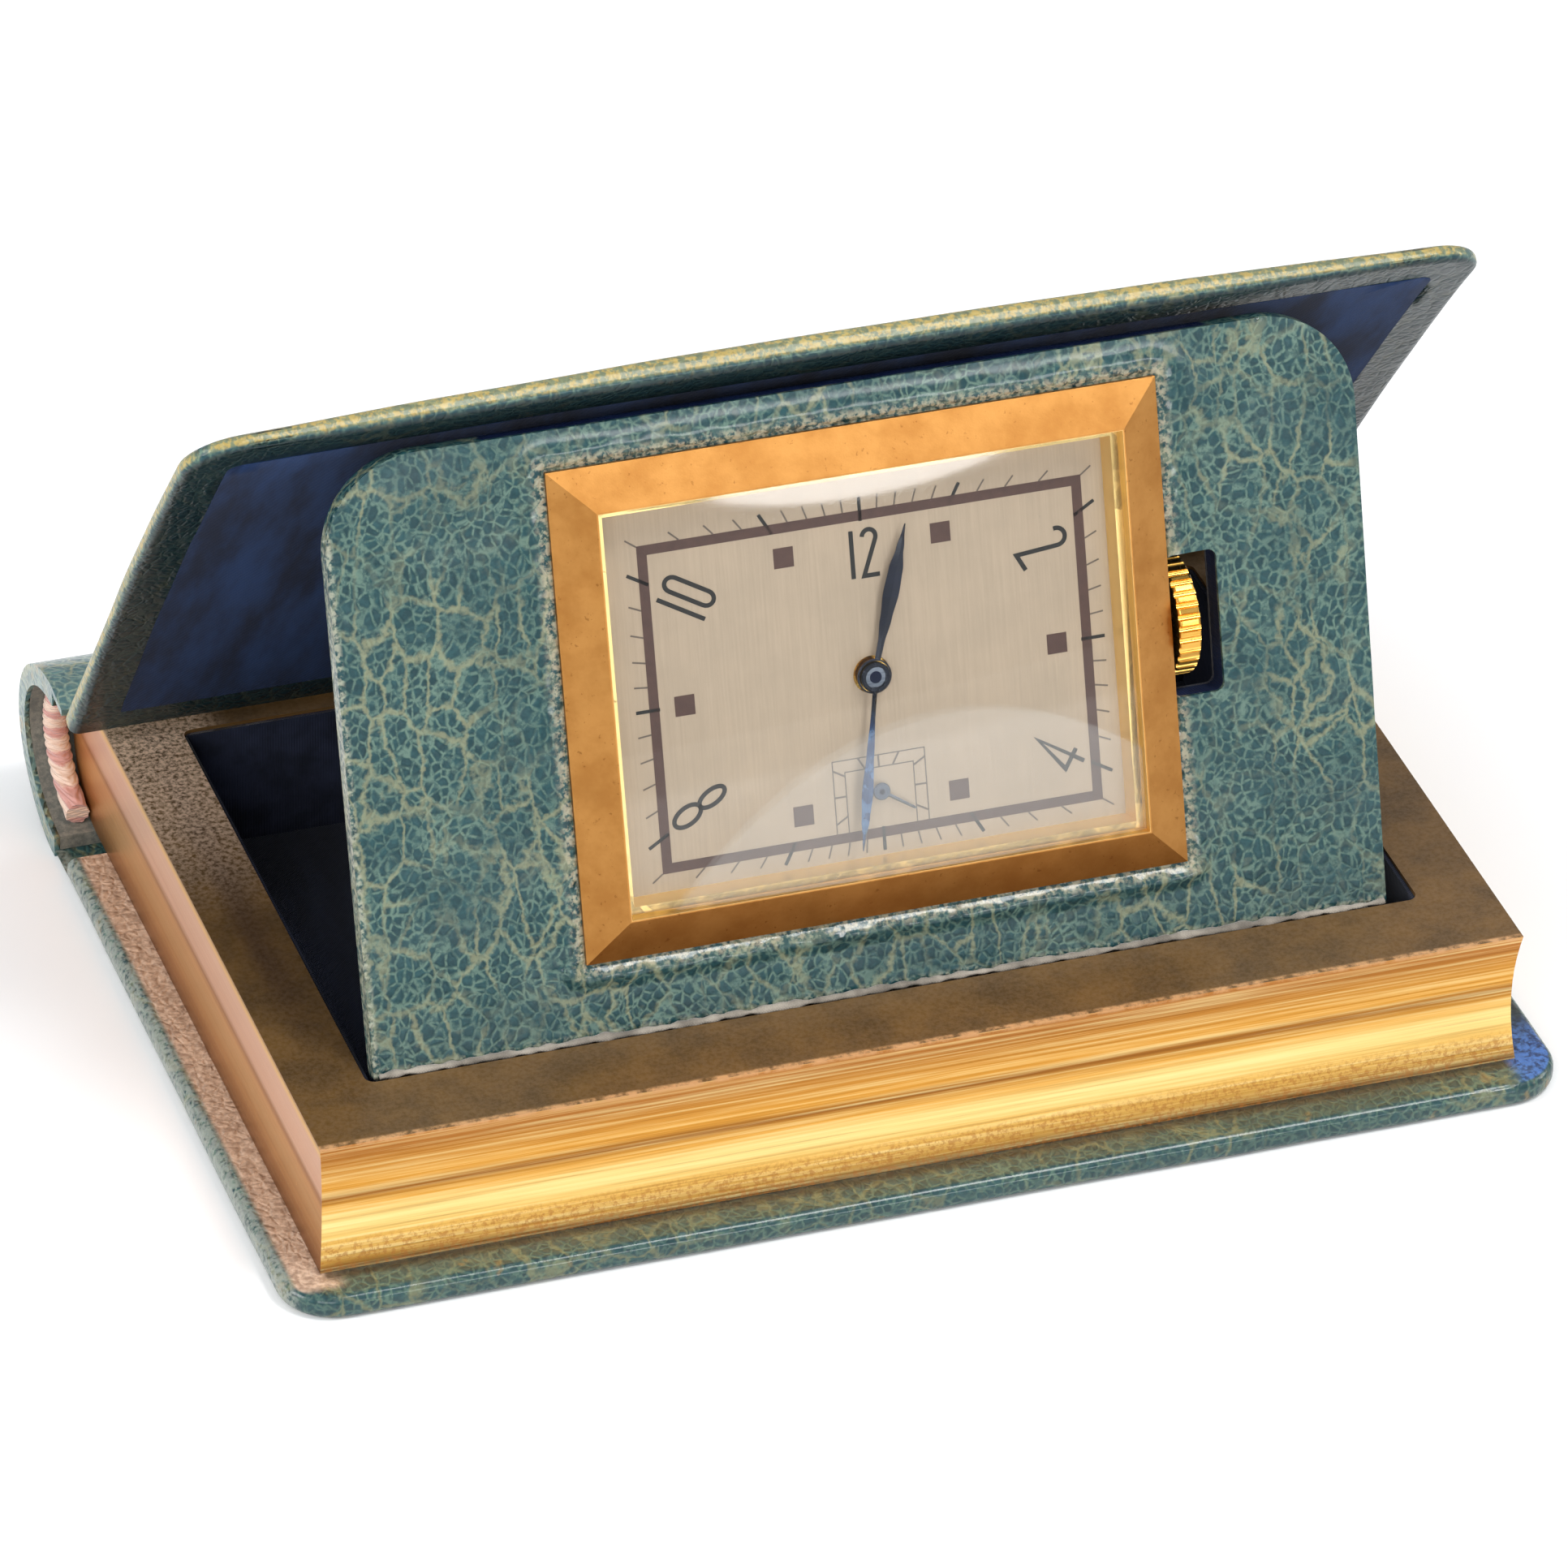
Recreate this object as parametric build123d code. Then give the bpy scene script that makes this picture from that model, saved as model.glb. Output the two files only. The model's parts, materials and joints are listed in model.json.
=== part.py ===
from build123d import *
import math
import os

# Travel clock in the form of a small leather book, standing open at rest.
# Millimetres. X runs along the spine, Y from the fore edge back to the spine, Z up.
# The origin is under the middle of the rear cover, on the surface the clock stands on.

# Page block: a hollow gilt frame shaped like the closed leaves of a book
block_length = 71.0
block_height = 8.4
front_rail_width = 5.3
side_rail_width = 4.3
well_width = 36.9
spine_rail_flat = 3.3
block_back_bulge = 5.8
fore_edge_hollow = 0.55
block_end_hollow = 0.26
well_corner_radius = 0.6
well_lining_thickness = 0.25
well_floor_thickness = 0.3

# Covers: a board wrapped in leather, lined on the inside
leather_thickness = 0.3
cover_board_thickness = 0.9
cover_lining_thickness = 0.3
turn_in_width = 2.7
cover_side_overhang = 2.4
cover_front_overhang = 2.6
cover_corner_radius = 3.2
cover_edge_radius = 0.6
inner_corner_share = 0.75
closed_cover_gap = 0.1
rear_joint_width = 2.7
cover_joint_gap = 0.35
front_board_setback = 1.3
front_cover_creep = 2.85

# Rounded spine
spine_bulge = 7.6
spine_drop = 5.9
spine_offset = 0.5
spine_leather_thickness = 0.4
spine_board_thickness = 0.9
spine_joint_length = 2.4

# Headbands: a striped roll at each end of the block's back
headband_diameter = 1.4
headband_gap = 0.05
headband_reach_share = 0.1

# Clock panel, hinged along the front rail and leaning back
panel_width = 60.1
panel_height = 35.25
panel_thickness = 2.0
panel_corner_radius = 5.5
panel_edge_radius = 0.95
panel_side_shift = -0.55
panel_turn_in_width = 2.5
panel_lean_angle = 72.5
hinge_inset = 0.3
hinge_drop = 1.07
panel_edge_setback = 1.0
panel_face_drop = 0.63
panel_rest_gap = 0.2

# Hinge strip of the panel, glued in the well and under the panel
hinge_leaf_thickness = 0.3
fixed_leaf_top_drop = 0.2
fixed_leaf_height = 5.6
moving_leaf_start = 0.3
moving_leaf_height = 4.9
hinge_leaf_side_margin = 0.6

# Watch case: bezel in front of the panel, case and back behind it
bezel_length = 35.6
bezel_width = 28.4
bezel_flange_width = 1.4
bezel_edge_height = 0.3
bezel_height = 1.45
bezel_facet_width = 2.4
bezel_land = 0.1
crystal_ledge_width = 0.45
crystal_seat_height = 0.5
rehaut_draft_share = 0.5
watch_centre_height = 18.75
watch_side_shift = -0.15
watch_case_length = bezel_length - 2 * bezel_flange_width
watch_case_width = bezel_width - 2 * bezel_flange_width
watch_case_wall = 0.6
watch_case_radius = 1.2
watch_case_depth = 5.0
case_back_thickness = 0.3
case_back_rim_height = 0.35
case_back_rim_wall = 0.5
panel_opening_gap = 0.1
crystal_gap = 0.03
crystal_height = 1.05
crystal_dome_radius = 300.0

# The round movement fills the case. Its plan sizes, the hands and the dial's holes are drawn in a
# unit of its own, so that they all keep to the case's width.
mainplate_margin = 0.7
mainplate_radius = watch_case_width / 2 - watch_case_wall - mainplate_margin
plate_radius_units = 11.5
unit = mainplate_radius / plate_radius_units

# Dial and the place of the hands on it
dial_depth = 0.6
dial_thickness = 0.25
dial_gap = 0.05
dial_shift_x = 0.3 * unit
dial_shift_y = -0.5 * unit
seconds_offset = 6.8 * unit
dial_centre_hole_radius = 1.08 * unit
dial_seconds_hole_radius = 0.32 * unit

# Hands
hour_hand_length = 8.8 * unit
hour_hand_width = 1.35 * unit
hand_waist_share = 0.42
hour_hand_boss_radius = 1.15 * unit
minute_hand_length = 10.0 * unit
minute_hand_width = 1.05 * unit
minute_hand_boss_radius = 0.95 * unit
hand_tip_width = 0.12 * unit
hand_thickness = 0.12
hour_hand_height = 0.42
minute_hand_height = 0.70
seconds_hand_height = 0.16
seconds_hand_length = 2.35 * unit
seconds_hand_tail = 1.1 * unit
seconds_hand_width = 0.2 * unit
seconds_hand_boss_radius = 0.42 * unit
dial_hours = 12
hour_minutes = 60
hour_shown = 12
minute_shown = 31.5
second_shown = 21.0

# Movement levels, measured back from the panel's face
motion_work_depth = 0.98
mainplate_depth = 1.65
mainplate_thickness = 0.8
mainplate_shift_x = -0.3 * unit
mainplate_shift_y = 0.5 * unit
train_space = 1.3
bridge_thickness = 0.6
low_wheel_rise = 0.08
mid_wheel_rise = 0.58
top_wheel_rise = 1.01
wheel_thickness = 0.18
pinion_extra = 0.08
spacer_gap = 0.1
spacer_start_depth = 1.3
spacer_height = 2.3

# Toothed wheels: counts and modules
tooth_root_share = 1.4
tooth_tip_share = 0.6
tooth_top_share = 0.2
centre_teeth = 48
centre_pinion_teeth = 12
third_teeth = 60
third_pinion_teeth = 8
fourth_teeth = 60
fourth_pinion_teeth = 6
escape_pinion_teeth = 6
escape_teeth = 15
barrel_teeth = 60
cannon_teeth = 12
minute_wheel_teeth = 36
minute_pinion_teeth = 10
hour_wheel_teeth = 40
ratchet_teeth = 40
crown_wheel_teeth = 30
winding_pinion_teeth = 14
centre_module = 0.17 * unit
third_module = 0.12 * unit
fourth_module = 0.1 * unit
barrel_module = 0.17 * unit
cannon_module = 0.15 * unit
winding_module = 0.19 * unit

# Train layout
escape_angle = 166.0
lever_angle = 125.0
barrel_angle = 60.0
minute_wheel_angle = 30.0

# Arbors, pivots and jewels
arbor_radius = 0.2 * unit
centre_arbor_radius = 0.35 * unit
pivot_radius = 0.12 * unit
pivot_gap = 0.03
jewel_radius = 0.5 * unit
jewel_thickness = 0.3
arbor_end_gap = 0.06
pipe_wall = 0.26 * unit
pipe_gap = 0.04
centre_hole_gap = 0.05
seconds_pipe_radius = 0.16 * unit
spoke_count = 4
spoke_width = 0.4 * unit
wheel_rim_width = 0.45 * unit
wheel_hub_radius = 0.75 * unit
escape_hub_share = 2 / 3
escape_back_share = 0.25

# Escapement
escape_radius = 2.1 * unit
escape_root_radius = 1.55 * unit
escape_rim_radius = 1.25 * unit
pallet_arm_width = 0.42 * unit
pallet_stone_width = 0.3 * unit
pallet_stone_length = 0.5 * unit
pallet_stone_angle = 31.5
pallet_reach_angle = 30.0
pallet_bridge_gap = 0.09
pallet_bridge_thickness = 0.2
pallet_bridge_width = 1.0 * unit
pallet_foot_distance = 2.9 * unit
pallet_foot_radius = 0.6 * unit
lever_length = 2.45 * unit
lever_width = 0.34 * unit
fork_width = 0.95 * unit
fork_depth = 0.5 * unit
fork_slot_width = 0.42 * unit
balance_distance = 3.3 * unit
balance_radius = 3.7 * unit
balance_rim_width = 0.45 * unit
balance_rim_height = 0.25
balance_arm_width = 0.5 * unit
balance_rise = 0.64
roller_radius = 0.9 * unit
roller_height = 0.08
impulse_pin_radius = 0.12 * unit
impulse_pin_offset = 0.72 * unit
hairspring_start_radius = 0.45 * unit
hairspring_pitch = 0.24 * unit
hairspring_half_turns = 9
hairspring_width = 0.08 * unit
hairspring_height = 0.12
hairspring_rise = 0.95

# Barrel and mainspring
barrel_rise = 0.05
barrel_height = 0.78
barrel_wall = 0.3 * unit
barrel_floor = 0.12
barrel_drum_inset = 0.35 * unit
barrel_teeth_rise = 0.5
barrel_arbor_radius = 0.75 * unit
barrel_arbor_pivot_radius = 0.45 * unit
mainspring_start_radius = 2.15 * unit
mainspring_pitch = 0.5 * unit
mainspring_half_turns = 9
mainspring_width = 0.16 * unit
mainspring_side_gap = 0.1

# Winding work
stem_depth = 2.6
stem_radius = 0.45
stem_gap = 0.05
winding_pinion_length = 0.9 * unit
pinion_inward_share = 1 / 3
winding_pinion_gap = 0.12
crown_radius = 3.45
crown_start_gap = 0.3
crown_rim_length = 1.25
crown_dome_length = 0.45
crown_dome_radius = 2.4
crown_shoulder_share = 0.75
crown_edge_radius = 0.18
crown_knurls = 32
knurl_seam_angle = 45.0
knurl_radius = 0.2
crown_slot_width = 3.0
crown_slot_height = 8.3
crown_slot_radius = 0.5
stem_inner_end_gap = 0.4
wheel_lift = 0.05
winding_wheel_thickness = 0.25
face_teeth_height = 0.45
face_mesh_depth = 0.094
face_tooth_width = 0.2 * unit
face_teeth_width = 0.3 * unit
click_length = 2.1 * unit
click_width = 0.5 * unit
click_tip_width = 0.16 * unit
click_reach = 0.12 * unit
click_boss_radius = 0.5 * unit
click_angle = 115.0
click_spring_width = 0.14 * unit
click_spring_length = 2.6 * unit
screw_head_radius = 0.55 * unit
screw_head_height = 0.2
screw_shank_radius = 0.28 * unit
screw_slot_width = 0.16 * unit
bridge_screw_angles = (15.0, 110.0, -124.0, -45.0)
bridge_gap = 0.3
barrel_bridge_sector = (-30.0, 128.0)
barrel_bridge_feet = ((-30.0, 30.0), (95.0, 128.0))
train_bridge_sector = (-132.0, -32.0)
train_bridge_feet = ((-130.0, -118.0), (-65.0, -32.0))
bridge_foot_width = 2.0 * unit
cock_foot_radius = 1.5 * unit
cock_foot_angle = 150.0
cock_width = 1.8 * unit
cut_overrun = 1.0

# Places along Y and Z that follow from the sizes above
case_depth = (cover_front_overhang + front_rail_width + well_width
              + spine_rail_flat + spine_offset + spine_bulge)
case_half_length = block_length / 2 + cover_side_overhang
cover_front_y = -case_depth / 2
fore_y = cover_front_y + cover_front_overhang
well_front_y = fore_y + front_rail_width
well_rear_y = well_front_y + well_width
block_back_y = well_rear_y + spine_rail_flat
spine_y = block_back_y + spine_offset
block_half_length = block_length / 2
well_half_length = block_half_length - side_rail_width
cover_thickness = leather_thickness + cover_board_thickness + cover_lining_thickness
block_bottom_z = cover_thickness
block_top_z = block_bottom_z + block_height
block_middle_z = block_bottom_z + block_height / 2
spine_z = spine_drop
cover_axis_z = block_top_z + closed_cover_gap + cover_thickness
cover_axis_y = spine_y - spine_joint_length

# Panel hinge axis, and the panel's lower front edge where it stands
panel_axis_y = well_front_y - hinge_inset
panel_axis_z = block_top_z - hinge_drop
lean = math.radians(panel_lean_angle)
panel_foot_y = panel_axis_y + panel_edge_setback * math.cos(lean) + panel_face_drop * math.sin(lean)
panel_foot_z = panel_axis_z + panel_edge_setback * math.sin(lean) - panel_face_drop * math.cos(lean)
panel_plane = Plane(
    origin=(0, panel_foot_y, panel_foot_z),
    x_dir=(1, 0, 0),
    z_dir=(0, -math.sin(lean), math.cos(lean)),
)

# The front cover rests with its inner face just off the panel's rounded top edge
edge_up = panel_height - panel_edge_radius
edge_back = panel_thickness - panel_edge_radius
edge_y = panel_foot_y + edge_up * math.cos(lean) + edge_back * math.sin(lean)
edge_z = panel_foot_z + edge_up * math.sin(lean) - edge_back * math.cos(lean)
edge_distance = math.hypot(cover_axis_y - edge_y, edge_z - cover_axis_z)
edge_angle = math.atan2(edge_z - cover_axis_z, cover_axis_y - edge_y)
edge_offset = cover_thickness + panel_edge_radius + panel_rest_gap
cover_rest = edge_angle + math.asin(edge_offset / edge_distance)
cover_plane = Plane(
    origin=(0, cover_axis_y, cover_axis_z),
    x_dir=(-1, 0, 0),
    z_dir=(0, math.sin(cover_rest), math.cos(cover_rest)),
)
cover_length = cover_axis_y - cover_front_y - front_cover_creep

# Places on the panel: watch centre, dial centre and arbors, as points in the panel's plane
watch_centre = Vector(watch_side_shift, watch_centre_height)
dial_centre = watch_centre + Vector(dial_shift_x, dial_shift_y)
plate_centre = dial_centre + Vector(mainplate_shift_x, mainplate_shift_y)
seconds_centre = dial_centre - Vector(0, seconds_offset)
bezel_inner_length = bezel_length - 2 * bezel_facet_width
bezel_inner_width = bezel_width - 2 * bezel_facet_width
window_length = bezel_inner_length - 2 * bezel_land
window_width = bezel_inner_width - 2 * bezel_land
rehaut_length = window_length - 2 * crystal_ledge_width
rehaut_width = window_width - 2 * crystal_ledge_width
case_inner_radius = watch_case_radius - watch_case_wall
case_inner_length = watch_case_length - 2 * watch_case_wall
case_inner_width = watch_case_width - 2 * watch_case_wall
train_floor = mainplate_depth + mainplate_thickness
train_roof = train_floor + train_space
bridge_top = train_roof + bridge_thickness
winding_pinion_radius = bridge_top + wheel_lift - face_teeth_height + face_mesh_depth - stem_depth
winding_pinion_module = winding_pinion_radius / (winding_pinion_teeth / 2 + tooth_tip_share)


def mesh_distance(first_teeth, second_teeth, module):
    """Distance between the arbors of two meshing wheels"""
    return (first_teeth + second_teeth) * module / 2


def polar(centre, distance, angle):
    """The point at a distance and an angle in degrees from a centre"""
    turn = math.radians(angle)
    return centre + Vector(distance * math.cos(turn), distance * math.sin(turn))


def direction(start, end):
    """Angle in degrees from one point to another"""
    return math.degrees(math.atan2(end.Y - start.Y, end.X - start.X))


def meeting_point(first, first_distance, second, second_distance):
    """The point on the right that lies at two given distances from two centres"""
    span = (second - first).length
    along = (first_distance**2 - second_distance**2 + span**2) / (2 * span)
    aside = math.sqrt(first_distance**2 - along**2)
    middle = polar(first, along, direction(first, second))
    return polar(middle, aside, direction(first, second) + 90)


third_centre = meeting_point(
    dial_centre,
    mesh_distance(centre_teeth, third_pinion_teeth, centre_module),
    seconds_centre,
    mesh_distance(third_teeth, fourth_pinion_teeth, third_module),
)
escape_distance = mesh_distance(fourth_teeth, escape_pinion_teeth, fourth_module)
escape_centre = polar(seconds_centre, escape_distance, escape_angle)
pallet_distance = escape_radius / math.cos(math.radians(pallet_reach_angle))
pallet_centre = polar(escape_centre, pallet_distance, lever_angle)
balance_centre = polar(pallet_centre, balance_distance, lever_angle)
barrel_distance = mesh_distance(barrel_teeth, centre_pinion_teeth, barrel_module)
barrel_centre = polar(dial_centre, barrel_distance, barrel_angle)
minute_wheel_distance = mesh_distance(cannon_teeth, minute_wheel_teeth, cannon_module)
minute_wheel_centre = polar(dial_centre, minute_wheel_distance, minute_wheel_angle)
minute_module = 2 * minute_wheel_distance / (minute_pinion_teeth + hour_wheel_teeth)
winding_distance = mesh_distance(ratchet_teeth, crown_wheel_teeth, winding_module)
stem_rise = barrel_centre.Y - dial_centre.Y
crown_wheel_x = barrel_centre.X + math.sqrt(winding_distance**2 - stem_rise**2)
crown_wheel_centre = Vector(crown_wheel_x, dial_centre.Y)
crown_wheel_radius = crown_wheel_teeth * winding_module / 2
crown_x = watch_centre.X + bezel_length / 2 + crown_start_gap
click_centre = polar(barrel_centre, ratchet_teeth * winding_module / 2 + click_length, click_angle)
cock_foot = polar(plate_centre, mainplate_radius - cock_foot_radius, cock_foot_angle)


def slab(x_low, x_high, y_low, y_high, z_low, z_high):
    """A box between two corners"""
    middle = Pos((x_low + x_high) / 2, (y_low + y_high) / 2, (z_low + z_high) / 2)
    return middle * Box(x_high - x_low, y_high - y_low, z_high - z_low)


def disc(centre, radius, z_low, z_high):
    """A cylinder about a point of the panel's plane"""
    middle = Pos(centre.X, centre.Y, (z_low + z_high) / 2)
    return middle * Cylinder(radius, z_high - z_low)


def ring(centre, outer, inner, z_low, z_high):
    """A flat ring about a point of the panel's plane"""
    hole = disc(centre, inner, z_low - cut_overrun, z_high + cut_overrun)
    return disc(centre, outer, z_low, z_high) - hole


def plate(length, width, radius, z_low, z_high, centre):
    """A rectangular plate with rounded corners"""
    outline = Pos(centre.X, centre.Y, z_low) * RectangleRounded(length, width, radius)
    return extrude(outline, z_high - z_low)


def hollow_radius(chord, sag):
    """Radius of the arc with this chord and sag"""
    return (chord**2 / 4 + sag**2) / (2 * sag)


def tooth_points(centre, teeth, module, tooth_angle):
    """Corners of a toothed wheel: three to a tooth, a root and the two ends of its top"""
    pitch = 360 / teeth
    root = (teeth / 2 - tooth_root_share) * module
    tip = (teeth / 2 + tooth_tip_share) * module
    points = []
    for tooth in range(teeth):
        middle = tooth_angle + tooth * pitch
        points.append(polar(centre, root, middle - pitch / 2))
        points.append(polar(centre, tip, middle - pitch * tooth_top_share / 2))
        points.append(polar(centre, tip, middle + pitch * tooth_top_share / 2))
    return points


def toothed(centre, teeth, module, tooth_angle, z_low, z_high, windows=None):
    """A toothed wheel, crossed out where windows are given"""
    outline = make_face(Polyline(*tooth_points(centre, teeth, module, tooth_angle), close=True))
    if windows is not None:
        outline = outline - windows
    return extrude(Pos(0, 0, z_low) * outline, z_high - z_low)


def crossings(centre, outer, inner, spokes, first_angle):
    """The windows between the spokes of a wheel"""
    windows = Pos(centre.X, centre.Y) * (Circle(outer) - Circle(inner))
    for spoke in range(spokes):
        turn = Rot(0, 0, first_angle + spoke * 360 / spokes)
        bar = Pos(centre.X, centre.Y) * turn * Pos(outer / 2, 0) * Rectangle(outer, spoke_width)
        windows = windows - bar
    return windows


def train_wheel(centre, teeth, module, tooth_angle, depth):
    """A crossed wheel of the going train, at a depth behind the panel's face"""
    rim = (teeth / 2 - tooth_root_share) * module - wheel_rim_width
    windows = crossings(centre, rim, wheel_hub_radius, spoke_count, tooth_angle)
    return toothed(centre, teeth, module, tooth_angle, -depth - wheel_thickness, -depth, windows)


def pinion(centre, leaves, module, tooth_angle, depth):
    """A pinion as wide as the wheel that it meshes with, and a little more each way"""
    low = -depth - wheel_thickness - pinion_extra
    return toothed(centre, leaves, module, tooth_angle, low, -depth + pinion_extra)


def arbor(centre, radius):
    """An arbor from plate to bridge, with a pivot at each end"""
    low = -train_roof + arbor_end_gap
    high = -train_floor - arbor_end_gap
    body = disc(centre, radius, low, high)
    return body + disc(centre, pivot_radius, low - jewel_thickness, high + jewel_thickness)


def gap_angle(first, second, teeth):
    """Tooth angle that turns a gap of the second wheel to the first wheel"""
    return direction(second, first) + 180 / teeth


low_depth = train_floor + low_wheel_rise
mid_depth = train_floor + mid_wheel_rise
top_depth = train_floor + top_wheel_rise


# The case: rear cover, spine, page block and its well

def block_body():
    """The whole block: hollow fore edge and ends, and a rounded back"""
    depth = block_back_y - fore_y
    profile = Pos(fore_y + depth / 2, block_middle_z) * Rectangle(depth, block_height)
    profile += Pos(block_back_y, block_middle_z) * Ellipse(block_back_bulge, block_height / 2)
    edge_radius = hollow_radius(block_height, fore_edge_hollow)
    profile -= Pos(fore_y + fore_edge_hollow - edge_radius, block_middle_z) * Circle(edge_radius)
    body = extrude(Plane.YZ * profile, block_half_length, both=True)
    end_radius = hollow_radius(block_height, block_end_hollow)
    offset = block_half_length - block_end_hollow + end_radius
    cutter = Rot(90, 0, 0) * Cylinder(end_radius, case_depth * 2)
    for side in (-1, 1):
        body -= Pos(side * offset, 0, block_middle_z) * cutter
    well = slab(-well_half_length, well_half_length, well_front_y, well_rear_y,
                block_bottom_z - cut_overrun, block_top_z + cut_overrun)
    return body - fillet(well.edges().filter_by(Axis.Z), well_corner_radius)


def block_rails():
    """The block cut into its front, head, tail and spine rails"""
    body = block_body()
    low = block_bottom_z - cut_overrun
    high = block_top_z + cut_overrun
    reach = block_half_length + cut_overrun
    front_cut = well_front_y
    rear_cut = well_rear_y
    return {
        "front_rail": body & slab(-reach, reach, cover_front_y, front_cut, low, high),
        "head_rail": body & slab(0, reach, front_cut, rear_cut, low, high),
        "tail_rail": body & slab(-reach, 0, front_cut, rear_cut, low, high),
        "spine_rail": body & slab(-reach, reach, rear_cut, case_depth, low, high),
    }


def well_lining():
    """Tray of lining cloth on the floor and walls of the well"""
    reach = well_half_length
    top = block_top_z - fixed_leaf_top_drop
    tray = slab(-reach, reach, well_front_y, well_rear_y, block_bottom_z, top)
    tray = fillet(tray.edges().filter_by(Axis.Z), well_corner_radius)
    inner = reach - well_lining_thickness
    leaf_bottom = top - fixed_leaf_height
    room = slab(-inner, inner, well_front_y + well_lining_thickness, well_rear_y - well_lining_thickness,
                block_bottom_z + well_floor_thickness, top + cut_overrun)
    leaf = slab(-inner, inner, fore_y, well_front_y + hinge_leaf_thickness, leaf_bottom, top + cut_overrun)
    return tray - room - leaf


def hinge_leaf_fixed():
    """The half of the panel's hinge strip that is glued to the front rail"""
    reach = well_half_length - well_lining_thickness - hinge_leaf_side_margin
    top = block_top_z - fixed_leaf_top_drop
    return slab(-reach, reach, well_front_y, well_front_y + hinge_leaf_thickness, top - fixed_leaf_height, top)


def cover_plate(rear_y, inset, z_low, z_high):
    """A sheet of a cover, inset from its edges, with its two fore corners rounded"""
    reach = case_half_length - inset
    sheet = slab(-reach, reach, cover_front_y + inset, rear_y, z_low, z_high)
    corners = sheet.edges().filter_by(Axis.Z).group_by(Axis.Y)[0]
    return fillet(corners, cover_corner_radius - min(inset, cover_corner_radius * inner_corner_share))


def round_rims(sheet, hinge_side):
    """A cover with its outline rounded on both faces, but not along its hinge side"""
    rims = sheet.edges().filter_by(Axis.Z, reverse=True)
    hinge_rims = rims.sort_by(Axis.Y)[-2:] if hinge_side > 0 else rims.sort_by(Axis.Y)[:2]
    return fillet([edge for edge in rims if edge not in hinge_rims], cover_edge_radius)


def rear_cover():
    """Board, lining and leather of the rear cover"""
    board_top = leather_thickness + cover_board_thickness
    board_rear_y = spine_y - rear_joint_width
    board = cover_plate(board_rear_y, leather_thickness, leather_thickness, board_top)
    lining = cover_plate(board_rear_y, turn_in_width, board_top, cover_thickness)
    whole = round_rims(cover_plate(spine_y, 0, 0, cover_thickness), 1)
    leather = whole - board - lining
    leather -= slab(-case_depth, case_depth, board_rear_y, spine_y + cut_overrun,
                    spine_leather_thickness, cover_thickness + cut_overrun)
    return {
        "rear_cover_board": board,
        "rear_cover_lining": lining,
        "rear_cover_leather": leather,
    }


def half_shell(half_length, outer_inset, inner_inset):
    """The part of an elliptical shell that lies behind the joint"""
    outer = Ellipse(spine_bulge - outer_inset, spine_drop - outer_inset)
    inner = Ellipse(spine_bulge - inner_inset, spine_drop - inner_inset)
    half = Pos(case_depth / 2, 0) * Rectangle(case_depth, case_depth)
    profile = Pos(spine_y, spine_z) * ((outer - inner) & half)
    return extrude(Plane.YZ * profile, half_length, both=True)


def spine():
    """Stiff board of the spine and the leather over it, with the leather of the front joint"""
    board_inset = spine_leather_thickness + spine_board_thickness
    half_length = case_half_length - leather_thickness
    board = half_shell(half_length, spine_leather_thickness, board_inset)
    leather = half_shell(case_half_length, 0, board_inset) - board
    top = spine_z + spine_drop
    joint = Polyline(
        (spine_y, top),
        (spine_y, top - spine_leather_thickness),
        (cover_axis_y + cover_joint_gap, cover_axis_z - spine_leather_thickness),
        (cover_axis_y + cover_joint_gap, cover_axis_z),
        close=True,
    )
    flange = extrude(Plane.YZ * make_face(joint), case_half_length, both=True)
    return {"spine_board": board, "spine_leather": leather + flange}


def headband(side):
    """A rolled headband that follows the inside of the spine at one end of the block"""
    inset = spine_leather_thickness + spine_board_thickness + headband_gap + headband_diameter / 2
    across = spine_bulge - inset
    up = spine_drop - inset
    x = side * (block_half_length + headband_diameter / 2 + headband_gap)
    start = 90 * headband_reach_share
    arc = EllipticalCenterArc((0, 0), across, up, start_angle=start - 90, arc_size=180 - 2 * start)
    path = Plane.YZ * Pos(spine_y, spine_z) * arc
    path = Pos(x, 0, 0) * path
    section = Plane(origin=path @ 0, z_dir=path % 0) * Circle(headband_diameter / 2)
    return sweep(section, path)


# The front cover, built flat in the plane of its outer face and leant over the panel

def cover_sheet(start, inset, z_low, z_high):
    """A sheet of the front cover: start is its distance from the hinge axis"""
    reach = case_half_length - inset
    sheet = slab(-reach, reach, start, cover_length - inset, z_low, z_high)
    corners = sheet.edges().filter_by(Axis.Z).group_by(Axis.Y)[-1]
    return fillet(corners, cover_corner_radius - min(inset, cover_corner_radius * inner_corner_share))


def front_cover():
    """Board, lining and leather of the front cover"""
    board_low = -leather_thickness - cover_board_thickness
    board = cover_sheet(front_board_setback, leather_thickness, board_low, -leather_thickness)
    lining_start = front_board_setback + turn_in_width / 2
    lining = cover_sheet(lining_start, turn_in_width, -cover_thickness, board_low)
    whole = round_rims(cover_sheet(cover_joint_gap, 0, -cover_thickness, 0), -1)
    leather = whole - board - lining
    return {
        "front_cover_board": cover_plane * board,
        "front_cover_lining": cover_plane * lining,
        "front_cover_leather": cover_plane * leather,
    }


# The clock panel, built in the plane of its front face

def panel_sheet(inset, z_low, z_high):
    """A sheet of the panel with its two upper corners rounded"""
    reach = panel_width / 2 - inset
    sheet = slab(panel_side_shift - reach, panel_side_shift + reach,
                 inset, panel_height - inset, z_low, z_high)
    corners = sheet.edges().filter_by(Axis.Z).group_by(Axis.Y)[-1]
    return fillet(corners, panel_corner_radius - inset)


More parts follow.
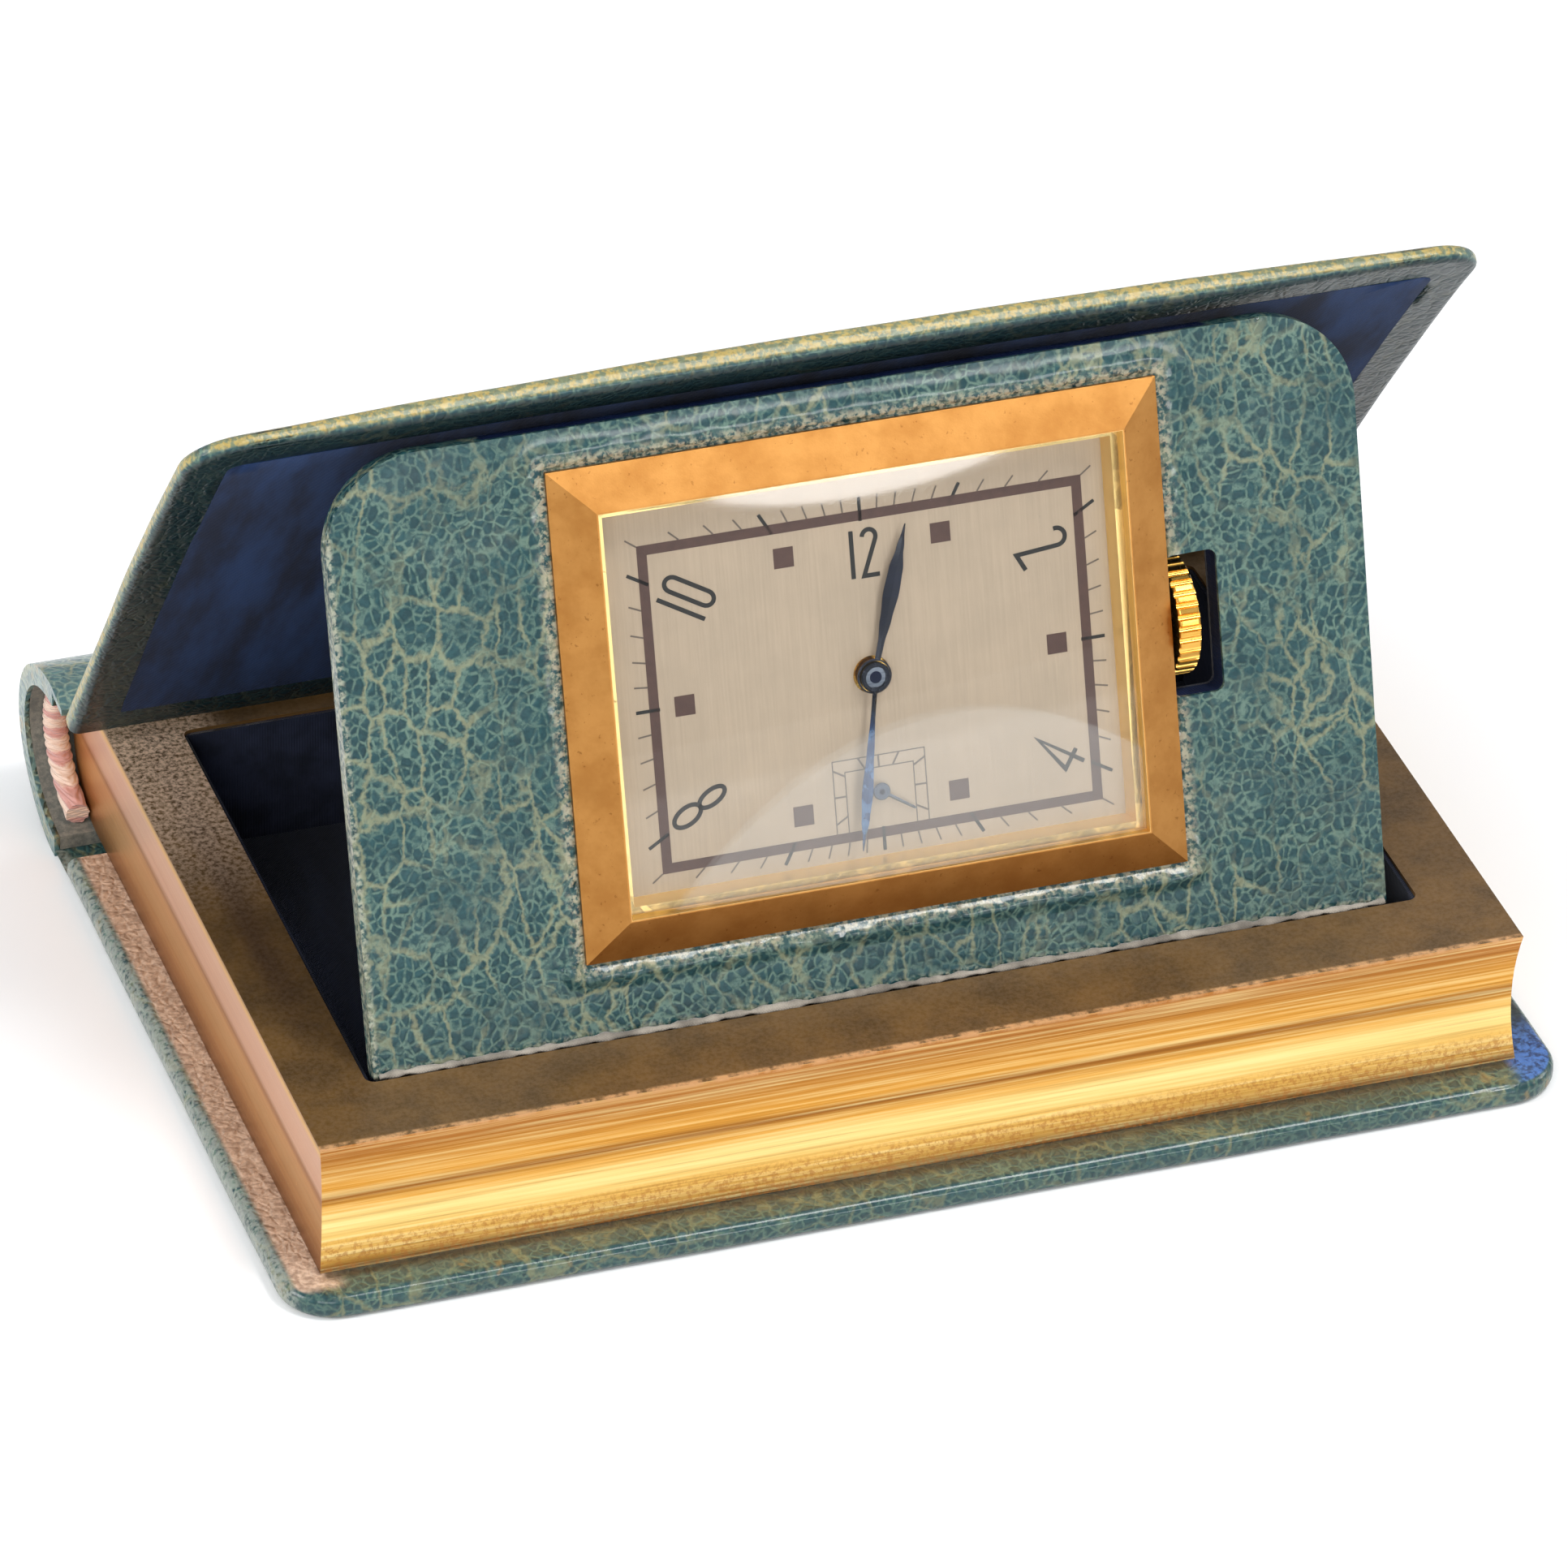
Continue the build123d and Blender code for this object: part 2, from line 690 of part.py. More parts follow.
def panel_openings(z_low, z_high):
    """The window for the watch case and the slot for the crown"""
    gap = 2 * panel_opening_gap
    window = plate(watch_case_length + gap, watch_case_width + gap, watch_case_radius,
                   z_low, z_high, watch_centre)
    slot_centre = Vector(watch_centre.X + (bezel_length + crown_slot_width) / 2, dial_centre.Y)
    return window + plate(crown_slot_width, crown_slot_height, crown_slot_radius, z_low, z_high, slot_centre)


def panel():
    """Board, lining and leather of the clock panel"""
    back = -panel_thickness
    openings = panel_openings(back - cut_overrun, cut_overrun)
    whole = panel_sheet(0, back, 0)
    upper = whole.faces().sort_by(Axis.Y)[-1].center().Y
    rims = whole.edges().filter_by(lambda edge: edge.center().Y > upper - panel_corner_radius)
    whole = fillet(rims.filter_by(lambda edge: edge.center().Z < back + leather_thickness), panel_edge_radius)
    board = panel_sheet(panel_edge_radius, back + leather_thickness, -leather_thickness)
    lining = panel_sheet(panel_turn_in_width, back, back + leather_thickness)
    leather = whole - board - lining - openings
    leaf = slab(
        panel_side_shift - panel_width / 2 + hinge_leaf_side_margin,
        panel_side_shift + panel_width / 2 - hinge_leaf_side_margin,
        moving_leaf_start, moving_leaf_start + moving_leaf_height, back - hinge_leaf_thickness, back)
    return {
        "panel_board": board - openings,
        "panel_back_lining": lining - openings,
        "panel_leather": leather,
        "hinge_leaf_moving": leaf,
    }


def bezel():
    """Frame with four mitred sloping facets, a seat for the crystal and a wall down to the dial"""
    base = plate_box(bezel_length, bezel_width, 0, bezel_edge_height)
    slope = loft([
        Pos(watch_centre.X, watch_centre.Y, bezel_edge_height) * Rectangle(bezel_length, bezel_width),
        Pos(watch_centre.X, watch_centre.Y, bezel_height) * Rectangle(bezel_inner_length, bezel_inner_width),
    ])
    skirt = case_filler(dial_gap, -dial_depth, 0)
    window = plate_box(window_length, window_width, crystal_seat_height, bezel_height + cut_overrun)
    inward = 2 * crystal_ledge_width * rehaut_draft_share
    wall = loft([
        Pos(watch_centre.X, watch_centre.Y, crystal_seat_height) * Rectangle(rehaut_length, rehaut_width),
        Pos(watch_centre.X, watch_centre.Y, -dial_depth) * Rectangle(rehaut_length - inward, rehaut_width - inward),
    ])
    return base + slope + skirt - window - wall


def plate_box(length, width, z_low, z_high):
    """A square-cornered plate about the watch centre"""
    return slab(watch_centre.X - length / 2, watch_centre.X + length / 2,
                watch_centre.Y - width / 2, watch_centre.Y + width / 2, z_low, z_high)


def case_filler(gap, z_low, z_high):
    """A plate that fills the inside of the case band, but for a gap all round"""
    return plate(case_inner_length - 2 * gap, case_inner_width - 2 * gap, case_inner_radius,
                 z_low, z_high, watch_centre)


def crystal():
    """Slightly domed crystal that fills the bezel's window"""
    gap = 2 * crystal_gap
    top = crystal_seat_height + crystal_height
    body = plate_box(window_length - gap, window_width - gap, crystal_seat_height, top)
    dome = Pos(watch_centre.X, watch_centre.Y, top - crystal_dome_radius) * Sphere(crystal_dome_radius)
    return body & dome


def stem_bore(x_low, x_high, radius):
    """A bore along the stem"""
    middle = Pos((x_low + x_high) / 2, dial_centre.Y, -stem_depth)
    return middle * Rot(0, 90, 0) * Cylinder(radius, x_high - x_low)


def watch_case():
    """Rectangular case band behind the bezel, with the hole for the stem"""
    outer = plate(watch_case_length, watch_case_width, watch_case_radius, -watch_case_depth, 0, watch_centre)
    inner = case_filler(0, -watch_case_depth - cut_overrun, cut_overrun)
    return outer - inner - stem_bore(dial_centre.X, bezel_length, stem_radius + stem_gap)


def case_back():
    """Snap-on back with a rim that enters the case band"""
    lid = plate(watch_case_length, watch_case_width, watch_case_radius,
                -watch_case_depth - case_back_thickness, -watch_case_depth, watch_centre)
    rim = case_filler(dial_gap, -watch_case_depth, -watch_case_depth + case_back_rim_height)
    room = case_filler(dial_gap + case_back_rim_wall, -watch_case_depth, cut_overrun)
    return lid + (rim - room)


def dial():
    """Dial plate with the holes for the hour pipe and the seconds arbor"""
    sheet = case_filler(dial_gap, -dial_depth - dial_thickness, -dial_depth)
    for centre, radius in ((dial_centre, dial_centre_hole_radius), (seconds_centre, dial_seconds_hole_radius)):
        sheet -= disc(centre, radius, -dial_depth - dial_thickness - cut_overrun, cut_overrun)
    return sheet


def leaf_hand(length, width, boss_radius, bore_radius, angle, height):
    """A leaf-shaped hand from a round boss: angle is clockwise from twelve"""
    low = -dial_depth + height
    waist = length * hand_waist_share
    right = ThreePointArc((0, 0), (width / 2, waist), (hand_tip_width / 2, length))
    tip = Line((hand_tip_width / 2, length), (-hand_tip_width / 2, length))
    left = ThreePointArc((-hand_tip_width / 2, length), (-width / 2, waist), (0, 0))
    outline = make_face([right, tip, left]) + Circle(boss_radius) - Circle(bore_radius)
    return extrude(Pos(dial_centre.X, dial_centre.Y, low) * Rot(0, 0, -angle) * outline, hand_thickness)


def seconds_hand():
    """Small straight hand with a round boss and a short tail"""
    low = -dial_depth + seconds_hand_height
    length = seconds_hand_length + seconds_hand_tail
    bar = Pos(0, seconds_hand_length - length / 2) * Rectangle(seconds_hand_width, length)
    outline = bar + Circle(seconds_hand_boss_radius) - Circle(seconds_pipe_radius)
    turn = Rot(0, 0, -second_shown * 360 / hour_minutes)
    return extrude(Pos(seconds_centre.X, seconds_centre.Y, low) * turn * outline, hand_thickness)


# The movement, in the panel's plane and behind its face

cannon_radius = centre_arbor_radius + pipe_wall
hour_pipe_bore = cannon_radius + pipe_gap
jewelled = (third_centre, seconds_centre, escape_centre, pallet_centre, balance_centre)


def movement_spacer():
    """Ring that holds the round movement in the rectangular case"""
    low = -spacer_start_depth - spacer_height
    frame = case_filler(spacer_gap, low, -spacer_start_depth)
    frame -= disc(plate_centre, mainplate_radius + spacer_gap, low - cut_overrun, cut_overrun)
    return frame - stem_bore(dial_centre.X, bezel_length, stem_radius + 2 * stem_gap)


def pinion_room():
    """Space for the winding pinion, cut through the plate and its bridge"""
    reach = winding_pinion_radius + winding_pinion_gap
    x_low = winding_pinion_start - winding_pinion_gap
    x_high = winding_pinion_start + winding_pinion_length + winding_pinion_gap
    return slab(x_low, x_high, dial_centre.Y - reach, dial_centre.Y + reach,
                -stem_depth - reach, -stem_depth + reach)


face_teeth_x = crown_wheel_centre.X + crown_wheel_radius - face_teeth_width
winding_pinion_start = face_teeth_x - winding_pinion_length * pinion_inward_share


def mainplate():
    """Round plate that carries the train, with jewel seats and the keyless cut-out"""
    body = disc(plate_centre, mainplate_radius, -train_floor, -mainplate_depth)
    for centre in jewelled:
        body -= disc(centre, jewel_radius, -train_floor - cut_overrun, 0)
    body -= disc(dial_centre, centre_arbor_radius + centre_hole_gap, -train_floor - cut_overrun, 0)
    body -= disc(barrel_centre, barrel_arbor_pivot_radius + pivot_gap, -train_floor - cut_overrun, 0)
    body -= disc(minute_wheel_centre, pivot_radius + pivot_gap, -train_floor - cut_overrun, 0)
    body -= pinion_room()
    return body - stem_bore(crown_wheel_centre.X, bezel_length, stem_radius + stem_gap)


def bridge_sector(start, end):
    """A sector of the round movement between two angles"""
    reach = 2 * mainplate_radius
    span = end - start
    corners = [plate_centre]
    for step in range(3):
        corners.append(polar(plate_centre, reach, start + span * step / 2))
    wedge = make_face(Polyline(*corners, close=True))
    return (Pos(plate_centre.X, plate_centre.Y) * Circle(mainplate_radius)) & wedge


def bridge(outline, foot_outline):
    """A bridge plate with a foot down to the mainplate"""
    top = extrude(Pos(0, 0, -bridge_top) * outline, bridge_thickness)
    foot = extrude(Pos(0, 0, -train_roof) * foot_outline, train_space)
    return top + foot


def bridge_feet(sectors):
    """The parts of the rim on which a bridge stands"""
    outline = Sketch()
    for start, end in sectors:
        outline += bridge_sector(start, end)
    return outline - Pos(plate_centre.X, plate_centre.Y) * Circle(mainplate_radius - bridge_foot_width)


def foot_clear(body, centre, radius):
    """Cuts room for a wheel into the feet of a bridge"""
    return body - disc(centre, radius + bridge_gap, -train_roof, -train_floor + cut_overrun)


def barrel_bridge():
    """Bridge over the barrel and the winding wheels"""
    top = bridge_sector(*barrel_bridge_sector) - Pos(dial_centre.X, dial_centre.Y) * Circle(wheel_hub_radius)
    body = bridge(top, bridge_feet(barrel_bridge_feet))
    body = foot_clear(body, barrel_centre, barrel_teeth * barrel_module / 2 + barrel_module)
    body = foot_clear(body, dial_centre, centre_teeth * centre_module / 2)
    body -= disc(barrel_centre, barrel_arbor_pivot_radius + pivot_gap, -bridge_top - cut_overrun, -train_floor)
    body -= pinion_room()
    body -= ring(crown_wheel_centre, crown_wheel_radius + winding_module, crown_wheel_radius - 2 * face_teeth_width,
                 -bridge_top - cut_overrun, -bridge_top + face_teeth_height + wheel_lift)
    return body - stem_bore(crown_wheel_centre.X, bezel_length, stem_radius + 2 * stem_gap)


def train_bridge():
    """Bridge over the third, fourth and escape wheels"""
    reach = Pos(seconds_centre.X, seconds_centre.Y) * Circle(mainplate_radius)
    outline = bridge_sector(*train_bridge_sector) & reach
    outline -= Pos(dial_centre.X, dial_centre.Y) * Circle(wheel_hub_radius)
    body = bridge(outline, bridge_feet(train_bridge_feet))
    body = foot_clear(body, seconds_centre, fourth_teeth * fourth_module / 2)
    body = foot_clear(body, third_centre, third_teeth * third_module / 2)
    body = foot_clear(body, escape_centre, escape_radius)
    for centre in (third_centre, seconds_centre, escape_centre):
        body -= disc(centre, jewel_radius, -bridge_top - cut_overrun, 0)
    return body


def link(start, end, width):
    """A flat bar with round ends between two points"""
    middle = (start + end) / 2
    bar = Rot(0, 0, direction(start, end)) * Rectangle((end - start).length, width)
    outline = Pos(middle.X, middle.Y) * bar
    for centre in (start, end):
        outline += Pos(centre.X, centre.Y) * Circle(width / 2)
    return outline


def balance_cock():
    """Cock over the balance, standing on one foot at the rim"""
    foot = Pos(cock_foot.X, cock_foot.Y) * Circle(cock_foot_radius)
    body = bridge(link(cock_foot, balance_centre, cock_width) + foot, foot)
    return body - disc(balance_centre, jewel_radius, -bridge_top - cut_overrun, 0)


def pallet_bridge():
    """Small bridge over the pallet fork"""
    start = polar(pallet_centre, pallet_foot_distance, lever_angle + 90)
    high = -low_depth - wheel_thickness - pallet_bridge_gap
    low = high - pallet_bridge_thickness
    bar = extrude(Pos(0, 0, low) * link(start, pallet_centre, pallet_bridge_width), pallet_bridge_thickness)
    foot = disc(start, pallet_foot_radius, low, -train_floor)
    return bar + foot - disc(pallet_centre, pivot_radius + pivot_gap, low - cut_overrun, high + cut_overrun)


def jewels():
    """Pierced jewels in the mainplate and the bridges"""
    stones = []
    for centre in jewelled:
        hole = pivot_radius + pivot_gap
        if centre is seconds_centre:
            hole = seconds_pipe_radius + pivot_gap
        stones.append(ring(centre, jewel_radius, hole, -train_floor, -train_floor + jewel_thickness))
    for centre in (third_centre, seconds_centre, escape_centre, balance_centre):
        stones.append(ring(centre, jewel_radius, pivot_radius + pivot_gap,
                           -train_roof - jewel_thickness, -train_roof))
    return stones


def going_train():
    """Wheels and pinions from the barrel's pinion to the escape pinion, each on its arbor"""
    to_third = direction(dial_centre, third_centre)
    centre = train_wheel(dial_centre, centre_teeth, centre_module, to_third, top_depth)
    barrel_side = gap_angle(barrel_centre, dial_centre, centre_pinion_teeth)
    centre += pinion(dial_centre, centre_pinion_teeth, barrel_module, barrel_side, barrel_mesh_depth)
    centre += disc(dial_centre, centre_arbor_radius, -train_roof + arbor_end_gap, -dial_depth + minute_hand_height)
    third = pinion(third_centre, third_pinion_teeth, centre_module,
                   gap_angle(dial_centre, third_centre, third_pinion_teeth), top_depth)
    third += train_wheel(third_centre, third_teeth, third_module, direction(third_centre, seconds_centre), low_depth)
    third += arbor(third_centre, arbor_radius)
    fourth = pinion(seconds_centre, fourth_pinion_teeth, third_module,
                    gap_angle(third_centre, seconds_centre, fourth_pinion_teeth), low_depth)
    fourth += train_wheel(seconds_centre, fourth_teeth, fourth_module,
                          direction(seconds_centre, escape_centre), mid_depth)
    fourth += arbor(seconds_centre, arbor_radius)
    fourth += disc(seconds_centre, seconds_pipe_radius, -train_floor - arbor_end_gap,
                   -dial_depth + seconds_hand_height + hand_thickness)
    escape = pinion(escape_centre, escape_pinion_teeth, fourth_module,
                    gap_angle(seconds_centre, escape_centre, escape_pinion_teeth), mid_depth)
    escape += escape_wheel_body() + arbor(escape_centre, arbor_radius)
    return {"centre_wheel": centre, "third_wheel": third, "fourth_wheel": fourth, "escape_wheel": escape}


def escape_wheel_body():
    """Fifteen hooked teeth on a crossed rim"""
    pitch = 360 / escape_teeth
    points = []
    for tooth in range(escape_teeth):
        angle = lever_angle + tooth * pitch
        points.append(polar(escape_centre, escape_radius, angle))
        points.append(polar(escape_centre, escape_root_radius, angle + pitch * escape_back_share))
        points.append(polar(escape_centre, escape_root_radius, angle + pitch * (1 - escape_back_share)))
    windows = crossings(escape_centre, escape_rim_radius, wheel_hub_radius * escape_hub_share, spoke_count, lever_angle)
    outline = make_face(Polyline(*points, close=True)) - windows
    return extrude(Pos(0, 0, -low_depth - wheel_thickness) * outline, wheel_thickness)


def pallet_fork():
    """Pallet arms with two stones, and the lever with its forked end"""
    place = Pos(pallet_centre.X, pallet_centre.Y, -low_depth - wheel_thickness) * Rot(0, 0, lever_angle)
    stone_reach = pallet_distance * math.sin(math.radians(pallet_reach_angle))
    arms = Rectangle(pallet_arm_width, 2 * stone_reach)
    stones = Sketch()
    for side in (-1, 1):
        spot = Pos(-pallet_stone_length / 2, side * stone_reach) * Rot(0, 0, -side * pallet_stone_angle)
        stones += spot * Rectangle(pallet_stone_length, pallet_stone_width)
    lever = Pos(lever_length / 2, 0) * Rectangle(lever_length, lever_width)
    fork = Pos(lever_length - fork_depth / 2, 0) * Rectangle(fork_depth, fork_width)
    slot = Pos(lever_length, 0) * Rectangle(fork_depth, fork_slot_width)
    outline = arms + stones + lever + fork - slot
    body = extrude(place * outline, wheel_thickness)
    low = -low_depth - wheel_thickness - pallet_bridge_gap - pallet_bridge_thickness
    staff = disc(pallet_centre, arbor_radius, -low_depth - wheel_thickness, -train_floor - arbor_end_gap)
    pivots = disc(pallet_centre, pivot_radius, low, -train_floor + jewel_thickness / 2)
    return body + staff + pivots


def balance_wheel():
    """Balance rim, arm, staff and the roller with its impulse pin"""
    depth = train_floor + balance_rise
    low = -depth - balance_rim_height
    body = ring(balance_centre, balance_radius, balance_radius - balance_rim_width, low, -depth)
    place = Pos(balance_centre.X, balance_centre.Y, low) * Rot(0, 0, lever_angle)
    arm_length = 2 * balance_radius - balance_rim_width
    body += extrude(place * Rectangle(arm_length, balance_arm_width), balance_rim_height / 2)
    body += arbor(balance_centre, arbor_radius)
    roller_high = -low_depth - wheel_thickness - roller_height
    body += disc(balance_centre, roller_radius, low, roller_high)
    pin = polar(balance_centre, impulse_pin_offset, lever_angle + 180)
    return body + disc(pin, impulse_pin_radius, low, -low_depth)


def spiral(centre, start_radius, pitch, half_turns, width, z_low, height, first_angle):
    """A flat spiral spring of half-turn arcs, each half a pitch wider than the last"""
    edges = []
    point = polar(Vector(0, 0), start_radius, 0)
    radius = start_radius
    side = 1
    for _ in range(half_turns):
        radius += pitch / 4
        middle = Vector(point.X - side * radius, 0)
        crest = middle + Vector(0, side * radius)
        end = middle - Vector(side * radius, 0)
        edges.append(ThreePointArc(point, crest, end))
        point = end
        side = -side
    path = Wire(edges)
    section = Plane(origin=path @ 0, z_dir=path % 0, x_dir=(1, 0, 0)) * Rectangle(width, height)
    body = sweep(section, path)
    return Pos(centre.X, centre.Y, z_low + height / 2) * Rot(0, 0, first_angle) * body


def hairspring():
    """Flat hairspring over the balance"""
    low = -train_floor - hairspring_rise - hairspring_height
    return spiral(balance_centre, hairspring_start_radius, hairspring_pitch, hairspring_half_turns,
                  hairspring_width, low, hairspring_height, lever_angle)


barrel_mesh_depth = train_floor + barrel_teeth_rise
barrel_low = -train_floor - barrel_rise - barrel_height
barrel_high = -train_floor - barrel_rise
drum_radius = barrel_teeth * barrel_module / 2 - barrel_drum_inset


def barrel():
    """Toothed drum, its mainspring and the arbor"""
    bore = barrel_arbor_pivot_radius + pipe_gap
    angle = direction(barrel_centre, dial_centre)
    drum = disc(barrel_centre, drum_radius, barrel_low, barrel_high)
    drum += toothed(barrel_centre, barrel_teeth, barrel_module, angle,
                    -barrel_mesh_depth - wheel_thickness, -barrel_mesh_depth)
    room_low = barrel_low + barrel_floor
    room_high = barrel_high - barrel_floor
    drum -= disc(barrel_centre, drum_radius - barrel_wall, room_low, room_high)
    drum -= disc(barrel_centre, bore, barrel_low - cut_overrun, barrel_high + cut_overrun)
    spring_height = room_high - room_low - 2 * mainspring_side_gap
    spring = spiral(barrel_centre, mainspring_start_radius, mainspring_pitch, mainspring_half_turns,
                    mainspring_width, room_low + mainspring_side_gap, spring_height, angle)
    shaft = disc(barrel_centre, barrel_arbor_pivot_radius, -bridge_top - wheel_lift - winding_wheel_thickness,
                 -mainplate_depth)
    shaft += disc(barrel_centre, barrel_arbor_radius, room_low + pipe_gap, room_high - pipe_gap)
    return {"barrel_drum": drum, "mainspring": spring, "barrel_arbor": shaft}


def motion_work():
    """Cannon pinion, minute wheel and hour wheel under the dial"""
    to_minute = direction(dial_centre, minute_wheel_centre)
    low_gear = motion_work_depth + wheel_thickness + 2 * pinion_extra
    cannon = pinion(dial_centre, cannon_teeth, cannon_module, to_minute, low_gear)
    cannon += disc(dial_centre, cannon_radius, -low_gear - wheel_thickness,
                   -dial_depth + minute_hand_height)
    cannon -= disc(dial_centre, centre_arbor_radius, -train_floor, cut_overrun)
    minute = toothed(minute_wheel_centre, minute_wheel_teeth, cannon_module,
                     gap_angle(dial_centre, minute_wheel_centre, minute_wheel_teeth),
                     -low_gear - wheel_thickness, -low_gear)
    minute += toothed(minute_wheel_centre, minute_pinion_teeth, minute_module,
                      direction(minute_wheel_centre, dial_centre), -low_gear, -motion_work_depth)
    minute += disc(minute_wheel_centre, pivot_radius, -train_floor, -low_gear)
    hour = toothed(dial_centre, hour_wheel_teeth, minute_module,
                   gap_angle(minute_wheel_centre, dial_centre, hour_wheel_teeth),
                   -motion_work_depth - wheel_thickness, -motion_work_depth)
    hour += disc(dial_centre, hour_pipe_radius, -motion_work_depth, -dial_depth + hour_hand_height)
    hour -= disc(dial_centre, hour_pipe_bore, -mainplate_depth, 0)
    return {"cannon_pinion": cannon, "minute_wheel": minute, "hour_wheel": hour}


hour_pipe_radius = hour_pipe_bore + pipe_wall


def face_teeth():
    """The ring of teeth under the crown wheel that the winding pinion turns"""
    low = -bridge_top - wheel_lift
    teeth = []
    for tooth in range(crown_wheel_teeth):
        turn = Rot(0, 0, tooth * 360 / crown_wheel_teeth)
        spot = Pos(crown_wheel_radius - face_teeth_width / 2, 0, low + face_teeth_height / 2)
        teeth.append(turn * spot * Box(face_teeth_width, face_tooth_width, face_teeth_height))
    place = Pos(crown_wheel_centre.X, crown_wheel_centre.Y)
    return [place * tooth for tooth in teeth]


def winding_wheels():
    """Ratchet wheel on the barrel arbor and crown wheel beside it"""
    high = -bridge_top - wheel_lift
    low = high - winding_wheel_thickness
    angle = direction(barrel_centre, crown_wheel_centre)
    ratchet = toothed(barrel_centre, ratchet_teeth, winding_module, angle, low, high)
    ratchet -= disc(barrel_centre, barrel_arbor_pivot_radius, low - cut_overrun, high + cut_overrun)
    wheel = toothed(crown_wheel_centre, crown_wheel_teeth, winding_module,
                    gap_angle(barrel_centre, crown_wheel_centre, crown_wheel_teeth), low, high)
    for tooth in face_teeth():
        wheel += tooth
    wheel -= disc(crown_wheel_centre, screw_shank_radius + pivot_gap, low - cut_overrun, high + cut_overrun)
    return {"ratchet_wheel": ratchet, "crown_wheel": wheel}


def winding_pinion():
    """Pinion on the stem, with its leaves along the stem"""
    points = tooth_points(Vector(0, 0), winding_pinion_teeth, winding_pinion_module, 180 / winding_pinion_teeth)
    outline = make_face(Polyline(*points, close=True)) - Circle(stem_radius)
    body = extrude(outline, winding_pinion_length)
    return Pos(winding_pinion_start, dial_centre.Y, -stem_depth) * Rot(0, 90, 0) * body


def stem_and_crown():
    """Winding stem, and the domed knurled crown at its end"""
    start = crown_wheel_centre.X + stem_inner_end_gap
    rim_end = crown_x + crown_rim_length
    stem = stem_bore(start, rim_end - crown_rim_length / 2, stem_radius)
    section = Polyline(
        (0, 0), (crown_radius, 0), (crown_radius, crown_rim_length),
        (crown_dome_radius, crown_rim_length + crown_dome_length * crown_shoulder_share),
        (0, crown_rim_length + crown_dome_length), close=True)
    body = revolve(Plane.XZ * make_face(section), Axis.Z)
    rim_length = math.tau * (crown_radius + crown_dome_radius) / 2
    body = fillet(body.edges().filter_by(lambda edge: edge.length > rim_length), crown_edge_radius)
    groove_length = 2 * (crown_rim_length + crown_dome_length + cut_overrun)
    groove = Cylinder(knurl_radius, groove_length, rotation=(0, 0, knurl_seam_angle))
    groove = Pos(crown_radius, 0, 0) * groove
    for knurl in range(crown_knurls):
        body -= Rot(0, 0, knurl * 360 / crown_knurls) * groove
    body -= Cylinder(stem_radius, crown_rim_length)
    place = Pos(crown_x, dial_centre.Y, -stem_depth) * Rot(0, 90, 0)
    return {"winding_stem": stem, "crown": place * body}


def click():
    """Click that drops into the ratchet wheel's teeth, and its spring"""
    high = -bridge_top - wheel_lift
    inward = click_angle + 180
    place = Pos(click_centre.X, click_centre.Y, high - winding_wheel_thickness) * Rot(0, 0, inward)
    tip = click_length - click_reach
    arm = Polyline((0, -click_width / 2), (0, click_width / 2), (tip, click_tip_width / 2),
                   (tip, -click_tip_width / 2), close=True)
    outline = make_face(arm) + Circle(click_boss_radius) - Circle(screw_shank_radius + pivot_gap)
    body = extrude(place * outline, winding_wheel_thickness)
    offset = click_boss_radius + click_spring_width + bridge_gap / 2
    bar = Pos(click_spring_length / 2 - click_boss_radius, offset) * Rectangle(click_spring_length, click_spring_width)
    root = Pos(-click_boss_radius, offset) * Circle(click_spring_width * 2)
    spring = extrude(place * (bar + root), winding_wheel_thickness)
    return {"click": body, "click_spring": spring}


def screw(centre, head_low, shank_end):
    """A slotted screw with its head away from the dial"""
    body = disc(centre, screw_head_radius, head_low, head_low + screw_head_height)
    body += disc(centre, screw_shank_radius, head_low + screw_head_height, shank_end)
    slot = slab(centre.X - screw_head_radius, centre.X + screw_head_radius,
                centre.Y - screw_slot_width / 2, centre.Y + screw_slot_width / 2,
                head_low - cut_overrun, head_low + screw_head_height / 2)
    return body - slot


def bridge_screw_places():
    """Points on the bridges' feet where their screws stand"""
    radius = mainplate_radius - bridge_foot_width / 2
    return [cock_foot] + [polar(plate_centre, radius, angle) for angle in bridge_screw_angles]


def movement_screws():
    """Screws of the bridges, of the crown wheel and of the click"""
    head_low = -bridge_top - screw_head_height
    screws = [screw(centre, head_low, -train_floor) for centre in bridge_screw_places()]
    wheel_top = -bridge_top - wheel_lift - winding_wheel_thickness - wheel_lift
    for centre in (crown_wheel_centre, click_centre):
        screws.append(screw(centre, wheel_top - screw_head_height, -train_roof))
    return screws


def bore_for_screws(body):
    """Drills the screw holes through a bridge"""
    for centre in bridge_screw_places() + [crown_wheel_centre, click_centre]:
        body -= disc(centre, screw_shank_radius, -bridge_top - cut_overrun, -train_floor + cut_overrun)
    return body


def on_panel(body):
    """Sets a piece that was built in the panel's plane in its place"""
    return panel_plane * body


def on_panel_group(solids):
    """Sets a group of like pieces on the panel as one compound"""
    return Compound(children=[on_panel(solid) for solid in solids])


hour_angle = (hour_shown % dial_hours + minute_shown / hour_minutes) * 360 / dial_hours
minute_angle = minute_shown * 360 / hour_minutes

nodes = {}
nodes.update(block_rails())
nodes.update(rear_cover())
nodes.update(spine())
nodes.update(front_cover())
nodes["headband"] = headband(1)
nodes["tailband"] = headband(-1)
nodes["well_lining"] = well_lining()
nodes["hinge_leaf_fixed"] = hinge_leaf_fixed()

